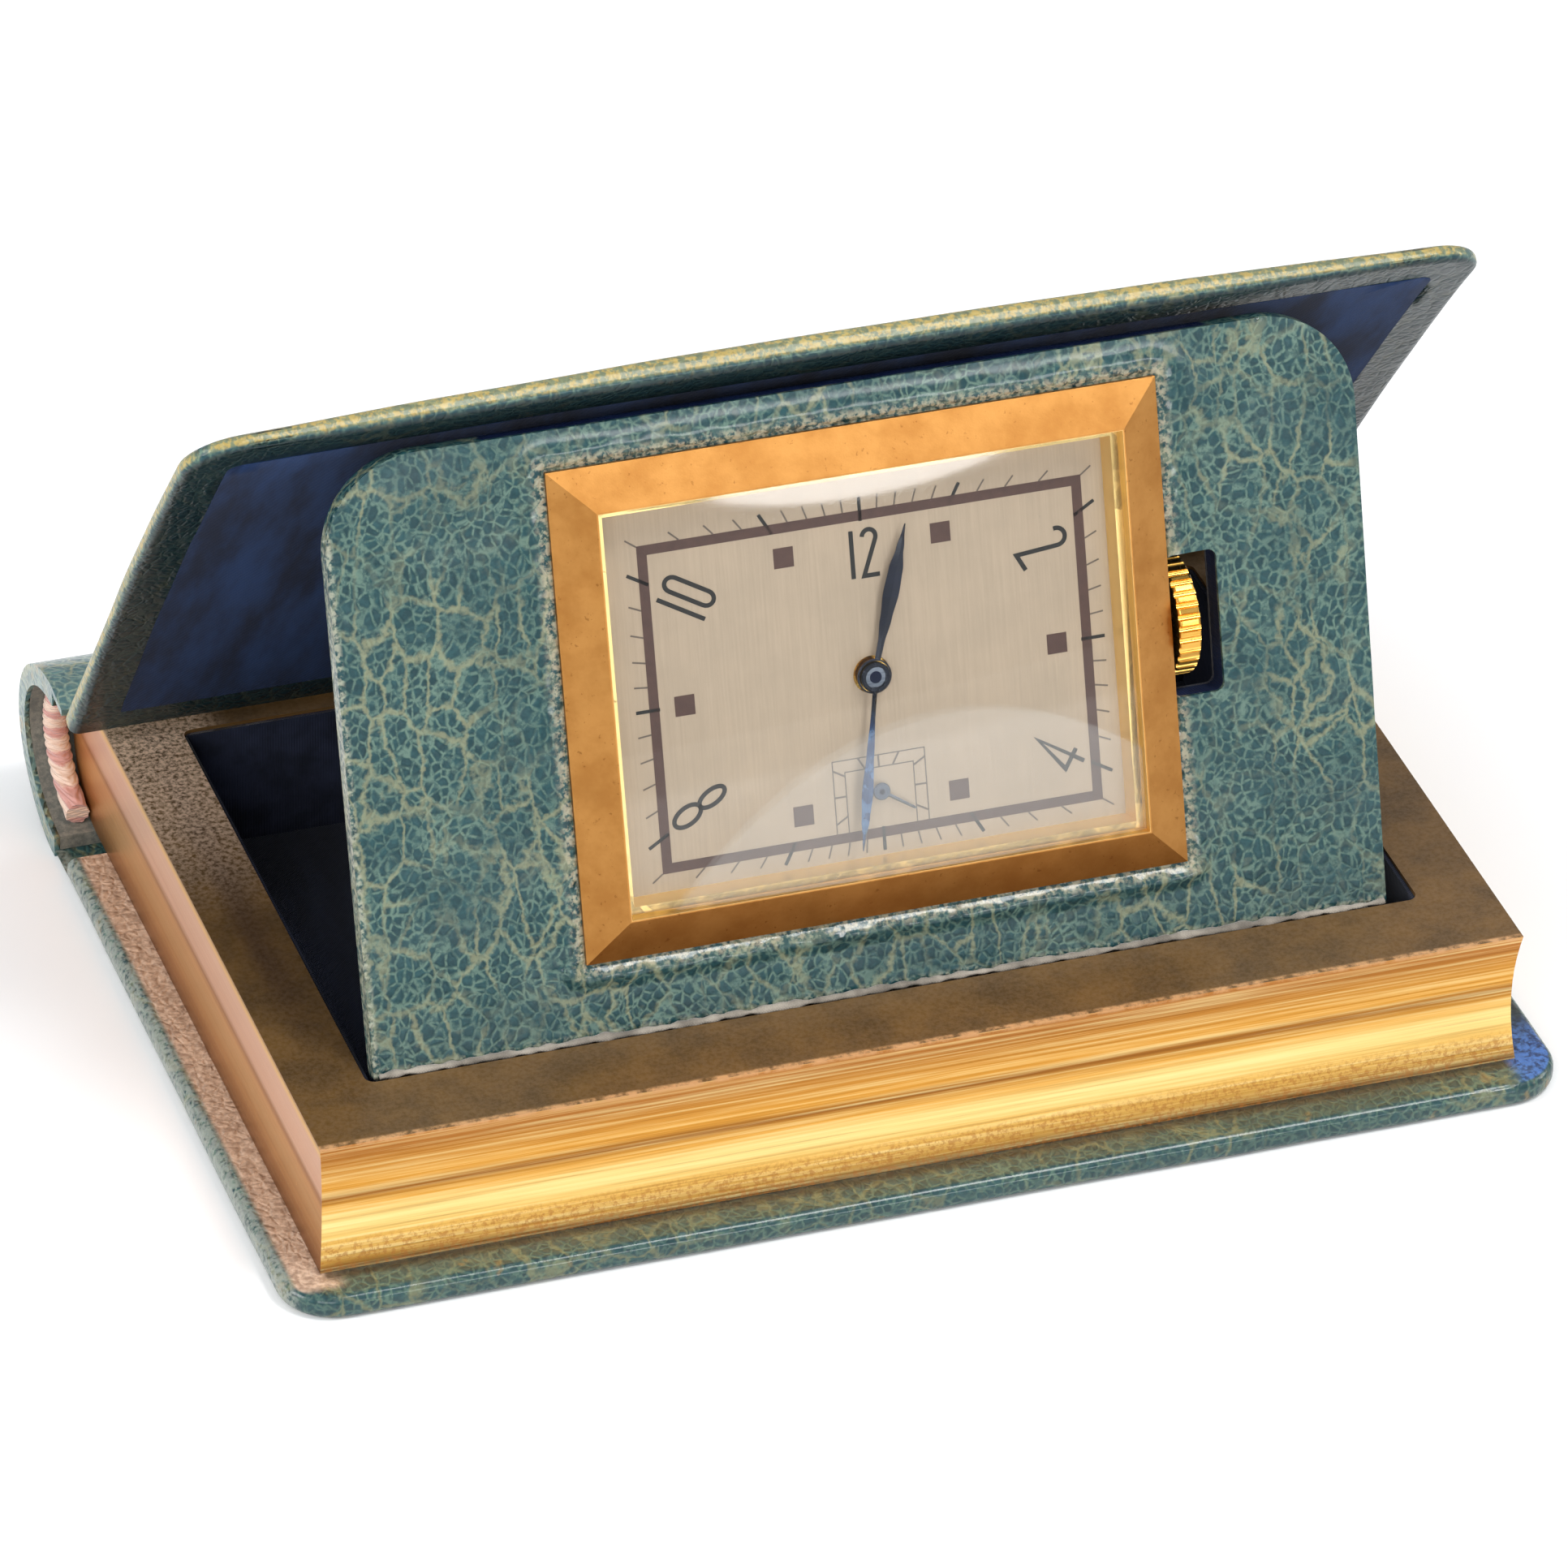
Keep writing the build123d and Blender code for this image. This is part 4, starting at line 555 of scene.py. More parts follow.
def gilt_block(name):
    """Gilt page block: fine page lines on the sides, a dull brushed top and a chipped upper edge."""
    g = Graph(name)
    place = g.place(base)
    x, y, z = g.parts(place)
    left = block_low.x
    lines = g.noise(g.place(base, (60.0, 60.0, 0.6)), 0.42, 4.0, 0.65)
    bands = g.noise(g.place(base, (300.0, 300.0, 1.0)), 1.1, 3.0, 0.6)
    height = g.line(z, 1 / block_height, -block_low.z / block_height)
    # bands by height: the gilt's own tone with painted reflection, bright lower bands and a brown-gold upper
    # half as the concave fore edge mirrors light
    shade = g.ramp(
        g.line(g.less(bands, 0.5), 0.12, height),
        (0.0, (110, 72, 30)), (0.07, (196, 146, 66)), (0.2, (232, 184, 94)), (0.34, (246, 216, 138)),
        (0.46, (222, 162, 68)), (0.54, (150, 94, 34)), (0.62, (218, 156, 62)), (0.9, (176, 112, 42)),
        (1.0, (190, 124, 58)),
    )
    side = g.mix(g.between(lines, 0.42, 0.7, 0.0, 0.5), shade, (255, 236, 170))
    side = g.mix(g.between(lines, 0.5, 0.3, 0.0, 0.35), side, (120, 72, 26))
    chipped = g.between(g.noise(place, 0.3, 3.0, 0.7), 0.46, 0.6)
    grime = g.times(chipped, g.between(z, block_low.z + 2.1, block_low.z + 1.1))
    side = g.mix(g.times(grime, 0.55), side, (172, 108, 50))
    facing_x, facing_z = g.parts(g.node("ShaderNodeNewGeometry").outputs["Normal"])[::2]
    rosy = g.ramp(
        height,
        (0.0, (140, 92, 54)), (0.2, (190, 134, 84)), (0.46, (204, 146, 92)), (0.52, (176, 118, 74)),
        (0.58, (222, 174, 148)), (0.88, (230, 184, 158)), (0.95, (240, 196, 116)), (1.0, (150, 100, 60)),
    )
    side = g.mix(g.between(facing_x, -0.5, -0.8, 0.0, 0.85), side, rosy)
    cloud = g.noise(place, 3.0, 5.0, 0.65)
    top = g.mix(g.between(cloud, 0.25, 0.75), (80, 58, 26), (112, 81, 37))
    across = g.times(g.between(x, left + 4.1, left + 2.3), g.between(x, left + 1.1, left + 2.3))
    top = g.mix(g.times(across, g.between(y, *burnt_run, 0.0, 0.7)), top, (66, 44, 26))
    back_left = g.times(g.between(y, *dusty_run), g.between(x, left + 7.5, left + 4.5))
    dust = g.between(g.noise(place, 0.3, 4.0, 0.7), 0.34, 0.62)
    top = g.mix(g.times(g.line(back_left, 0.95, 0.05), dust), top, (238, 204, 174))
    is_top = g.between(facing_z, 0.6, 0.9)
    colour = g.mix(is_top, side, top)
    rim = g.between(z, block_high.z - 0.35, block_high.z - 0.08)
    ragged = g.between(g.noise(place, 0.9, 5.0, 0.7), 0.35, 0.6)
    front = g.between(y, block_low.y + 0.45, block_low.y + 0.2)
    colour = g.mix(g.times(rim, front, ragged), colour, (210, 160, 110))
    relief = g.bump(g.mix(is_top, lines, cloud), 0.02)
    return g.finish(colour, g.line(is_top, 0.08, 0.34), g.line(is_top, -0.55, 0.85), relief)


def striped(name):
    """Silk headband in cream with rose stripes wound across it."""
    g = Graph(name)
    place = g.place(base)
    z = g.parts(place)[2]
    fray = g.noise(place, 0.3, 4.0, 0.7)
    share = g.between(g.line(g.less(fray, 0.5), 1.2, g.wave(z, stripe_pitch)), -0.2, 0.5)
    colour = g.mix(share, (228, 198, 178), (204, 150, 140))
    return g.finish(colour, 0.75, 0.0, g.bump(g.wave(z, weave_pitch), 0.03), Sheen_Weight=0.3)


panel_leather = leather(
    "panel_calf", panel, (8, 44, 50), (36, 76, 80), (92, 118, 106), (138, 140, 108),
    (100, 110, 94), panel_zones
)
cover_leather = leather(
    "cover_calf", cover, (12, 50, 58), (42, 82, 88), (96, 124, 110), (150, 148, 108),
    (150, 130, 76), cover_zones, 1.0, 0.25
)
base_leather = leather(
    "base_calf", base, (14, 46, 50), (40, 76, 78), (82, 108, 94), (128, 126, 88),
    (150, 120, 66), base_zones, 0.8
)
spine_leather = leather(
    "spine_calf", base, (40, 74, 80), (82, 114, 112), (122, 140, 124), (158, 154, 116),
    (180, 144, 80)
)
lining = cloth("silk_lining", base, (20, 24, 36), (40, 46, 66), sheen=0.2)
cover_lining = cloth("cover_silk", cover, (6, 20, 46), (28, 54, 96), sheen=0.05)
slot_board = cloth("slot_board", panel, (10, 18, 40), (26, 40, 74), sheen=0.0)
block_gilt = gilt_block("page_gilt")
bezel_gilt = bezel_metal("bezel_gilt")
case_gilt = metal("case_gilt", (178, 138, 70), (214, 176, 100), 0.4)
crown_gilt = metal("crown_gilt", (206, 152, 60), (244, 200, 110), 0.28)
plate_gilt = metal("plate_gilt", (176, 152, 104), (214, 194, 146), 0.38)
wheel_gilt = metal("wheel_gilt", (190, 148, 70), (226, 190, 112), 0.25)
centre_gilt = arbor_metal("centre_gilt", (190, 148, 70), (226, 190, 112), (20, 26, 46))
steel = metal("steel", (140, 142, 146), (196, 198, 202), 0.25)
dark_steel = metal("dark_steel", (74, 80, 92), (116, 122, 134), 0.3)
hour_blue = metal("hour_blue", (6, 10, 24), (14, 22, 48), 0.3, metallic=0.2)
minute_blue = hub_metal("minute_blue", (14, 20, 34), (40, 66, 112), (92, 126, 168))
seconds_blue = metal("seconds_blue", (60, 70, 92), (98, 108, 124), 0.3, metallic=0.6)
dial_silver = metal(
    "dial_silver", (169, 150, 131), (182, 161, 141), 0.5, (0.35, 14.0, 1.0), 0.003, 0.15
)
board_pulp = board("board_pulp", (150, 132, 106), (190, 172, 140), (126, 108, 84))
# painted shade: a darker copy of the pulp board for the spine board, which lies in shadow at the spine's end
spine_pulp_painted_shade = board("spine_pulp_painted_shade", (96, 98, 92), (138, 134, 122), (84, 82, 74))
crystal_glass = glass("crystal_glass")
ruby = jewel("ruby")
silk_stripe = striped("striped_silk")
strip_cloth = cloth("strip_cloth", panel, (120, 116, 106), (196, 190, 174), 0.9)
fray_cloth = cloth("fray_cloth", panel, (104, 98, 90), (164, 156, 144), 0.95)
print_brown = ink("print_brown", (64, 38, 34), (86, 58, 50))
print_black = ink("print_black", (8, 7, 8), (26, 22, 22))
print_grey = ink("print_grey", (84, 72, 66), (112, 98, 88))

# every CAD node's material
finishes = (
    (board_pulp, "rear_cover_board front_cover_board"),
    (lining, "rear_cover_lining well_lining panel_back_lining"),
    (base_leather, "rear_cover_leather"),
    (spine_pulp_painted_shade, "spine_board"),
    (spine_leather, "spine_leather"),
    (block_gilt, "front_rail head_rail tail_rail spine_rail"),
    (silk_stripe, "headband tailband"),
    (strip_cloth, "hinge_leaf_fixed hinge_leaf_moving"),
    (cover_lining, "front_cover_lining"),
    (cover_leather, "front_cover_leather"),
    (slot_board, "panel_board"),
    (panel_leather, "panel_leather"),
    (bezel_gilt, "bezel"),
    (crystal_glass, "crystal"),
    (case_gilt, "watch_case case_back movement_spacer"),
    (dial_silver, "dial"),
    (plate_gilt, "mainplate barrel_bridge train_bridge balance_cock pallet_bridge"),
    (ruby, "jewels"),
    (centre_gilt, "centre_wheel fourth_wheel"),
    (dark_steel, "cannon_pinion"),
    (hour_blue, "hour_hand"),
    (minute_blue, "minute_hand"),
    (seconds_blue, "seconds_hand"),
    (wheel_gilt, "minute_wheel hour_wheel third_wheel balance_wheel barrel_drum"),
    (steel, "movement_screws click_spring escape_wheel pallet_fork hairspring mainspring barrel_arbor"),
    (steel, "ratchet_wheel crown_wheel winding_pinion winding_stem click"),
    (crown_gilt, "crown"),
)
for material, names in finishes:
    for name in names.split():
        nodes[name].data.materials.clear()
        nodes[name].data.materials.append(material)


# soft and bowed pieces, made again from the frame's own surfaces

# bow, dish and extra thickness of the front cover, in mm, and where along it the dish is whole
cover_bow = 0.58
cover_dish = 0.2
cover_crown = 0.5
cover_root_share = 0.25
# largest faces of the dressed pieces, in mm
cover_slices = (2.0, 1.6, 0.5)
panel_slices = (0.4, 0.25, 5.0)
base_slices = (2.0, 2.0, 0.5)
round_slices = (2.0, 2.0, 2.0)
thin_slices = (2.0, 2.0, 0.3)
broad_slices = (3.0, 3.0, 0.3)
band_slices = (1.0, 1.0, 0.07)
# ridge of the panel's leather round the bezel, in mm
ridge_height = 0.5
ridge_distance = 0.86
ridge_spread = 0.5
ridge_side_share = 0.3
ridge_foot = 1.5
rim_gap = 0.22
rim_drop = 0.25
skin_depth = 0.05
# reach and size of the soft unevenness of silk and leather, in mm
silk_wave = (5.0, 0.04)
leather_wave = (7.0, 0.05)
thread_relief = 0.05
thread_slope = 0.4
# frayed edge and hinge cloth, in mm
fray_radius = 0.17
fray_inset = 0.25
fray_gap = 0.06
fray_flatness = 1.3
strip_drop = 0.9
strip_turn = 0.75
strip_lead = 0.7
strip_rise = 0.2
strip_thickness_share = 0.8
# crystal and hands, in mm
crystal_dome_radius = 300.0
crystal_faces = (60, 44)
boss_sides = 48
boss_chamfer = 0.06
hand_stations = 40
blade_foot = 0.04


def sliced(node, axes, steps):
    """A copy of a CAD node's surface, cut along the axes into faces no larger than the steps in mm."""
    build = bmesh.new()
    build.from_mesh(nodes[node].data)
    bmesh.ops.remove_doubles(build, verts=build.verts, dist=0.0005 * MM)
    for direction, step in zip((axes.across, axes.up, axes.out), steps):
        low, high = span(node, direction)
        count = max(1, math.ceil((high - low) / (step * MM)))
        for index in range(1, count):
            at = direction * (low + (high - low) * index / count)
            everything = build.verts[:] + build.edges[:] + build.faces[:]
            bmesh.ops.bisect_plane(build, geom=everything, dist=1e-7, plane_co=at, plane_no=direction)
    return build


def joined(build, first, second):
    """Faces between two closed rings of points."""
    for index in range(len(first)):
        after = (index + 1) % len(first)
        build.faces.new((first[index], first[after], second[after], second[index]))


def rows_closed(build, rows):
    """Faces between rows of points, each row a closed ring, with both ends capped."""
    for first, second in zip(rows, rows[1:]):
        joined(build, first, second)
    build.faces.new(rows[0])
    build.faces.new(list(reversed(rows[-1])))


def linked(name, data):
    """A new object that is in the scene."""
    made = bpy.data.objects.new(name, data)
    bpy.context.scene.collection.objects.link(made)
    return made


def scene_piece(build, name, material, body, sharp=None, turned=True):
    """Turns a mesh under construction into a piece, which rides on the body if one is named."""
    if turned:
        bmesh.ops.recalc_face_normals(build, faces=build.faces)
    mesh = bpy.data.meshes.new(name)
    build.to_mesh(mesh)
    build.free()
    if sharp is not None:
        mesh.shade_smooth()
        mesh.set_sharp_from_angle(angle=math.radians(sharp))
    mesh.materials.append(material)
    piece = linked(name, mesh)
    if body is not None:
        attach(piece, body)
    return piece


def dressed(name, node, axes, steps, moved, material, body, slot, puffed):
    """A piece that stands for a CAD node. One rule moves its points in the axes, one puffs them outwards."""
    build = sliced(node, axes, steps)
    build.normal_update()
    places = [axes.local(vertex.co) for vertex in build.verts]
    normals = [vertex.normal.copy() for vertex in build.verts]
    for vertex, place, normal in zip(build.verts, places, normals):
        if moved is not None:
            vertex.co = axes.point(*moved(*place))
        if puffed is not None:
            vertex.co += normal * puffed(*place) * MM
    piece = scene_piece(build, name, material, body, sharp=35, turned=False)
    depths = piece.data.attributes.new("rest_depth", "FLOAT", "POINT")
    depths.data.foreach_set("value", [place[2] for place in places])
    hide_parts(node)


def bowed(u, v, h):
    """The front cover: bowed along its length, dished across it and thicker in the middle."""
    along = min(max(v / cover_run, 0.0), 1.0)
    across = max(0.0, 1 - (u / case_reach) ** 2)
    root = min(1.0, along / cover_root_share)
    outer = min(max(-h / cover_depth, 0.0), 1.0)
    arch = 4 * along * (1 - along)
    fall = cover_bow * arch + cover_dish * across * root
    return u, v, h - fall - cover_crown * outer * (across - 1) * root


def ripple(u, v, size, reach):
    """A soft unevenness of the surface, in mm."""
    return reach * noise.noise(Vector((u / size, v / size, 0.3)))


def pulled(u, v, h):
    """The panel's leather: a soft ridge round the bezel, highest below it."""
    if h < -skin_depth:
        return u, v, h
    outside_u = max(bezel_u[0] - u, u - bezel_u[1], 0.0)
    outside_v = max(bezel_v[0] - v, v - bezel_v[1], 0.0)
    away = math.hypot(outside_u, outside_v)
    if away == 0:
        return u, v, h
    rise = math.exp(-(((away - ridge_distance) / ridge_spread) ** 2))
    below = 1.0 if v < bezel_v[0] else ridge_side_share
    edge = min(1.0, v / ridge_foot)
    drop = rim_drop * max(0.0, 1 - away / rim_gap)
    broken = 0.8 + ripple(u, v, 0.8, 0.5)
    return u, v, h - drop + ridge_height * below * rise * edge * broken + ripple(u, v, 4.0, 0.05) * edge


def woven(u, v, h):
    """Lining: the soft unevenness of glued silk."""
    return ripple(u, v + h, *silk_wave)


def supple(u, v, h):
    """Leather over board: slight waves."""
    return ripple(u, v + h, *leather_wave)


def wound(u, v, h):
    """Headband: threads wound round the core."""
    return thread_relief * math.sin(2 * math.pi * (h + thread_slope * u) / thread_pitch)


# name, CAD node, axes, largest faces, rule that moves, material, body, slot, rule that puffs
pieces = (
    ("cover_leather", "front_cover_leather", cover, cover_slices, bowed,
     cover_leather, "front_cover", "leather", supple),
    ("cover_silk_lining", "front_cover_lining", cover, cover_slices, bowed,
     cover_lining, "front_cover", "lining", woven),
    ("cover_pulp_board", "front_cover_board", cover, cover_slices, bowed,
     board_pulp, "front_cover", "board", None),
    ("panel_cover", "panel_leather", panel, panel_slices, pulled,
     panel_leather, "clock_panel", "leather", None),
    ("panel_back_silk", "panel_back_lining", panel, thin_slices, None,
     lining, "clock_panel", "lining", woven),
)
for piece in pieces:
    dressed(*piece)

# on the case: name, CAD node, largest faces, material, slot, rule that puffs
case_pieces = (
    ("base_leather", "rear_cover_leather", base_slices, base_leather, "leather", supple),
    ("base_silk_lining", "rear_cover_lining", broad_slices, lining, "lining", woven),
    ("spine_cover", "spine_leather", round_slices, spine_leather, "leather", supple),
    ("well_silk", "well_lining", round_slices, lining, "lining", woven),
    ("headband_silk", "headband", band_slices, silk_stripe, "headband", wound),
    ("tailband_silk", "tailband", band_slices, silk_stripe, "headband", wound),
)
for name, node, steps, material, slot, puffed in case_pieces:
    dressed(name, node, base, steps, None, material, "case", slot, puffed)


def crystal_pane():
    """The crystal on an even mesh, so that its shallow dome mirrors without ripples."""
    reach_u, reach_v, reach_h = extent("crystal", panel)
    middle_u = sum(reach_u) / 2
    middle_v = sum(reach_v) / 2
    columns, lines = crystal_faces
    build = bmesh.new()
    top = []
    for column in range(columns + 1):
        u = reach_u[0] + (reach_u[1] - reach_u[0]) * column / columns
        row = []
        for line in range(lines + 1):
            v = reach_v[0] + (reach_v[1] - reach_v[0]) * line / lines
            fall = ((u - middle_u) ** 2 + (v - middle_v) ** 2) / (2 * crystal_dome_radius)
            row.append(build.verts.new(panel.point(u, v, reach_h[1] - fall)))
        top.append(row)
    for first, second in zip(top, top[1:]):
        for line in range(lines):
            build.faces.new((first[line], first[line + 1], second[line + 1], second[line]))
    rim = [top[column][0] for column in range(columns + 1)]
    rim += top[columns][1:]
    rim += [top[column][lines] for column in range(columns - 1, -1, -1)]
    rim += list(reversed(top[0][1:lines]))
    places = [panel.local(vertex.co) for vertex in rim]
    foot = [build.verts.new(panel.point(u, v, reach_h[0])) for u, v, h in places]
    joined(build, rim, foot)
    build.faces.new(foot)
    piece = scene_piece(build, "crystal_pane", crystal_glass, "clock_panel", 35)
    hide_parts("crystal")


def ridged_hand(name, node, centre, material, body, widths, boss):
    """A hand with a chamfered boss and a slender blade that rises to a ridge."""
    places = [panel.local(vertex.co) for vertex in nodes[node].data.vertices]
    low, high = extent(node, panel)[2]
    around = [(u - centre[0], v - centre[1]) for u, v, h in places]
    tip = max(around, key=lambda at: math.hypot(*at))
    length = math.hypot(*tip)
    along = (tip[0] / length, tip[1] / length)
    bore = min(math.hypot(*at) for at in around)
    chamfer = min(boss_chamfer, (boss - bore) / 3)
    build = bmesh.new()
    rings = []
    levels = ((boss, low), (boss, high - chamfer), (boss - chamfer, high), (bore, high), (bore, low))
    for radius, level in levels:
        ring = []
        for side in range(boss_sides):
            angle = 2 * math.pi * side / boss_sides
            at = (centre[0] + radius * math.cos(angle), centre[1] + radius * math.sin(angle))
            ring.append(build.verts.new(panel.point(at[0], at[1], level)))
        rings.append(ring)
    for first, second in zip(rings, rings[1:] + rings[:1]):
        joined(build, first, second)
    rows = []
    start = boss - chamfer * 2
    for station in range(hand_stations + 1):
        share = station / hand_stations
        reach = start + (length - start) * share
        half = blade_half_width(widths, share)
        edge = low + blade_foot
        section = ((-half, low), (-half, edge), (0.0, high), (half, edge), (half, low))
        row = []
        for across, level in section:
            u = centre[0] + along[0] * reach + along[1] * across
            v = centre[1] + along[1] * reach - along[0] * across
            row.append(build.verts.new(panel.point(u, v, level)))
        rows.append(row)
    rows_closed(build, rows)
    piece = scene_piece(build, name, material, body, 8)
    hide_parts(node)


def blade_half_width(widths, share):
    """Half the width of a blade at a share of its length, eased between the given stations."""
    for (before, first), (after, second) in zip(widths, widths[1:]):
        if share <= after:
            ease = (share - before) / (after - before)
            return first + (second - first) * ease * ease * (3 - 2 * ease)
    return widths[-1][1]


def strip_path():
    """Middle line of the hinge cloth in mm of height and depth, from the rail's wall to the panel's back."""
    fixed_low, fixed_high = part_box("hinge_leaf_fixed")
    wall_y = (fixed_low.y + fixed_high.y) / 2 / MM
    leaf_half = (fixed_high.y - fixed_low.y) / 2 / MM
    back = (span("panel_back_lining", panel.out)[0] - panel.origin.dot(panel.out)) / MM - leaf_half
    leaf_low, leaf_high = (
        (reach - panel.origin.dot(panel.up)) / MM for reach in span("hinge_leaf_moving", panel.up)
    )
    points = [Vector((wall_y, fixed_low.z / MM)), Vector((wall_y, panel.origin.z / MM - strip_drop))]
    turned = (
        (-strip_turn, -strip_turn), (-strip_lead, back + strip_rise), (leaf_low, back), (leaf_high, back)
    )
    for v, h in turned:
        at = panel.point(0, v, h) / MM
        points.append(Vector((at.y, at.z)))
    return points, leaf_half * strip_thickness_share


def rounded_path(points, steps=5):
    """The path with its corners rounded off."""
    made = [points[0]]
    for before, here, after in zip(points, points[1:], points[2:]):
        first = here.lerp(before, 0.35)
        last = here.lerp(after, 0.35)
        for index in range(steps + 1):
            share = index / steps
            made.append(first.lerp(here, share).lerp(here.lerp(last, share), share))
    made.append(points[-1])
    return made


def hinge_strip():
    """The cloth that joins the panel to the front rail, bending at the fold."""
    points, half = strip_path()
    line = rounded_path(points)
    low, high = (reach / MM for reach in span("hinge_leaf_moving", X))
    columns = 40
    build = bmesh.new()
    rings = []
    for column in range(columns + 1):
        x = low + (high - low) * column / columns
        ring = []
        for side in (1, -1):
            for index in range(len(line))[::side]:
                near = line[max(index - 1, 0)]
                far = line[min(index + 1, len(line) - 1)]
                along = (far - near).normalized()
                off = Vector((along.y, -along.x)) * half * side
                wave = ripple(x, index, 3.0, 0.03)
                at = line[index] + off * (1 + wave)
                ring.append(build.verts.new((x * MM, at.x * MM, at.y * MM)))
        rings.append(ring)
    rows_closed(build, rings)
    piece = scene_piece(build, "hinge_cloth", strip_cloth, None, 50)
    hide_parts("hinge_leaf_fixed", "hinge_leaf_moving")
    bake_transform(piece)


def frayed_line():
    """Frayed cloth edge that shows along the panel's foot, on the front rail."""
    low, high = (reach / MM for reach in span("panel_leather", X))
    foot = panel.origin / MM
    rail_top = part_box("front_rail")[1].z / MM
    columns = 240
    sides = 8
    build = bmesh.new()
    rings = []
    for column in range(columns + 1):
        x = low + fray_inset + (high - low - 2 * fray_inset) * column / columns
        thick = fray_radius * (1 + ripple(x, 0.0, 0.7, 0.9))
        y = foot.y - fray_radius - fray_gap + ripple(x, 3.0, 2.0, 0.12)
        ring = []
        for side in range(sides):
            angle = 2 * math.pi * side / sides
            at = (x, y + thick * fray_flatness * math.cos(angle), rail_top + thick * math.sin(angle))
            ring.append(build.verts.new([value * MM for value in at]))
        rings.append(ring)
    rows_closed(build, rings)
    scene_piece(build, "frayed_edge", fray_cloth, "case", 80)


hinge_strip()
frayed_line()
crystal_pane()

# name, CAD node, centre, material, body, half widths in mm at shares of the blade, radius of the boss
hands = (
    ("hour_hand_blade", "hour_hand", dial_centre, hour_blue, "hour_work",
     ((0.0, 0.17), (0.12, 0.19), (0.3, 0.34), (0.5, 0.47), (0.66, 0.42), (0.82, 0.22), (0.95, 0.08),
      (1.0, 0.03)),
     1.0),
    ("minute_hand_blade", "minute_hand", dial_centre, minute_blue, "centre_arbor",
     ((0.0, 0.13), (0.15, 0.13), (0.4, 0.22), (0.64, 0.33), (0.8, 0.24), (0.94, 0.08), (1.0, 0.03)),
     0.86),
    ("seconds_hand_blade", "seconds_hand", seconds_centre, seconds_blue, "fourth_arbor",
     ((0.0, 0.1), (0.9, 0.08), (1.0, 0.03)),
     0.5),
)
for hand in hands:
    ridged_hand(*hand)


# the dial's printing

def ribbon(build, points, width, closed):
    """Adds a flat line through points in mm from the dial's centre, mitred at the corners."""
    centre = Vector(dial_centre[:2])
    level = dial_face + print_lift
    count = len(points)
    sides = []
    for index in range(count):
        here = centre + Vector(points[index])
        before = centre + Vector(points[index - 1]) if closed or index > 0 else None
        after = centre + Vector(points[(index + 1) % count]) if closed or index < count - 1 else None
        into = (here - before).normalized() if before is not None else (after - here).normalized()
        away = (after - here).normalized() if after is not None else into
        normal_in = Vector((-into.y, into.x))
        normal_away = Vector((-away.y, away.x))
        middle = (normal_in + normal_away).normalized()
        reach = width / 2 / max(middle.dot(normal_in), 0.35)
        sides.append((here + middle * reach, here - middle * reach))
    rows = [[build.verts.new(panel.point(side.x, side.y, level)) for side in pair] for pair in sides]
    last = count if closed else count - 1
    for index in range(last):
        first = rows[index]
        second = rows[(index + 1) % count]
        build.faces.new((first[0], first[1], second[1], second[0]))


def arc(centre, radius_u, radius_v, start, end, steps):
    """Points along an arc or part of an oval, angles in degrees."""
    made = []
    for index in range(steps + 1):
        angle = math.radians(start + (end - start) * index / steps)
        made.append((centre[0] + radius_u * math.cos(angle), centre[1] + radius_v * math.sin(angle)))
    return made


def placed(points, centre, turn):
    """Points of a numeral, turned clockwise by an angle in degrees and moved to its place."""
    cos = math.cos(math.radians(turn))
    sin = math.sin(math.radians(turn))
    return [(centre[0] + u * cos + v * sin, centre[1] - u * sin + v * cos) for u, v in points]


def printing(name, lines, material):
    """One printed piece of the dial, from lines of points, width and closed or not."""
    build = bmesh.new()
    for points, width, closed in lines:
        ribbon(build, points, width, closed)
    scene_piece(build, name, material, "clock_panel")


def on_frame(angle):
    """Where a ray from the centre, clockwise from 12, meets the track's outer edge."""
    u = math.sin(math.radians(angle))
    v = math.cos(math.radians(angle))
    reach = min(frame_length / 2 / max(abs(u), 1e-6), frame_width / 2 / max(abs(v), 1e-6))
    return u * reach, v * reach, u, v


half_band = frame_band / 2
band_u = frame_length / 2 - half_band
band_v = frame_width / 2 - half_band
band_points = [(-band_u, -band_v), (band_u, -band_v), (band_u, band_v), (-band_u, band_v)]
thin_lines = []
heavy_lines = []
for tick in range(tick_count):
    u, v, along_u, along_v = on_frame(tick * 360 / tick_count)
    thin = (thin_lines, thin_tick, 0.0)
    lines, width, inset = thin if tick % 5 else (heavy_lines, heavy_tick, heavy_tick_inset)
    first = (u - along_u * inset, v - along_v * inset)
    second = (u + along_u * tick_length, v + along_v * tick_length)
    lines.append(([first, second], width, False))

square_half = square_side / 2
square_lines = [
    ([(u - square_half, v), (u + square_half, v)], square_side, False) for u, v in square_places
]

printing("dial_track", [(band_points, frame_band, True)], print_brown)
printing("dial_ticks", thin_lines, print_grey)
printing("dial_heavy_ticks", heavy_lines, print_black)
printing("dial_squares", square_lines, print_brown)

two = arc((0.0, 0.92), 0.4, 0.42, 175, -20, 12) + [(-0.42, -1.3), (0.5, -1.3)]
twelve_one = [(-0.62, -1.38), (-0.62, 1.38)]
twelve_two = [(u + 0.42, v) for u, v in two]
ten_one = [(-0.68, -1.55), (-0.68, 1.55)]
ten_zero = arc((0.42, 1.08), 0.42, 0.48, 0, 180, 10) + arc((0.42, -1.08), 0.42, 0.48, 180, 360, 10)
eight_outer = arc((0.0, 0.78), 0.42, 0.85, -90, 270, 22)[:-1]
eight_inner = arc((0.0, -0.95), 0.5, 0.88, 90, 450, 22)[:-1]
big_two = arc((0.0, 0.98), 0.5, 0.5, 170, -25, 12) + [(-0.5, -1.5), (0.55, -1.5)]
four_stem = [(0.3, -1.55), (0.3, 1.55), (-0.55, -0.75), (0.75, -0.75)]
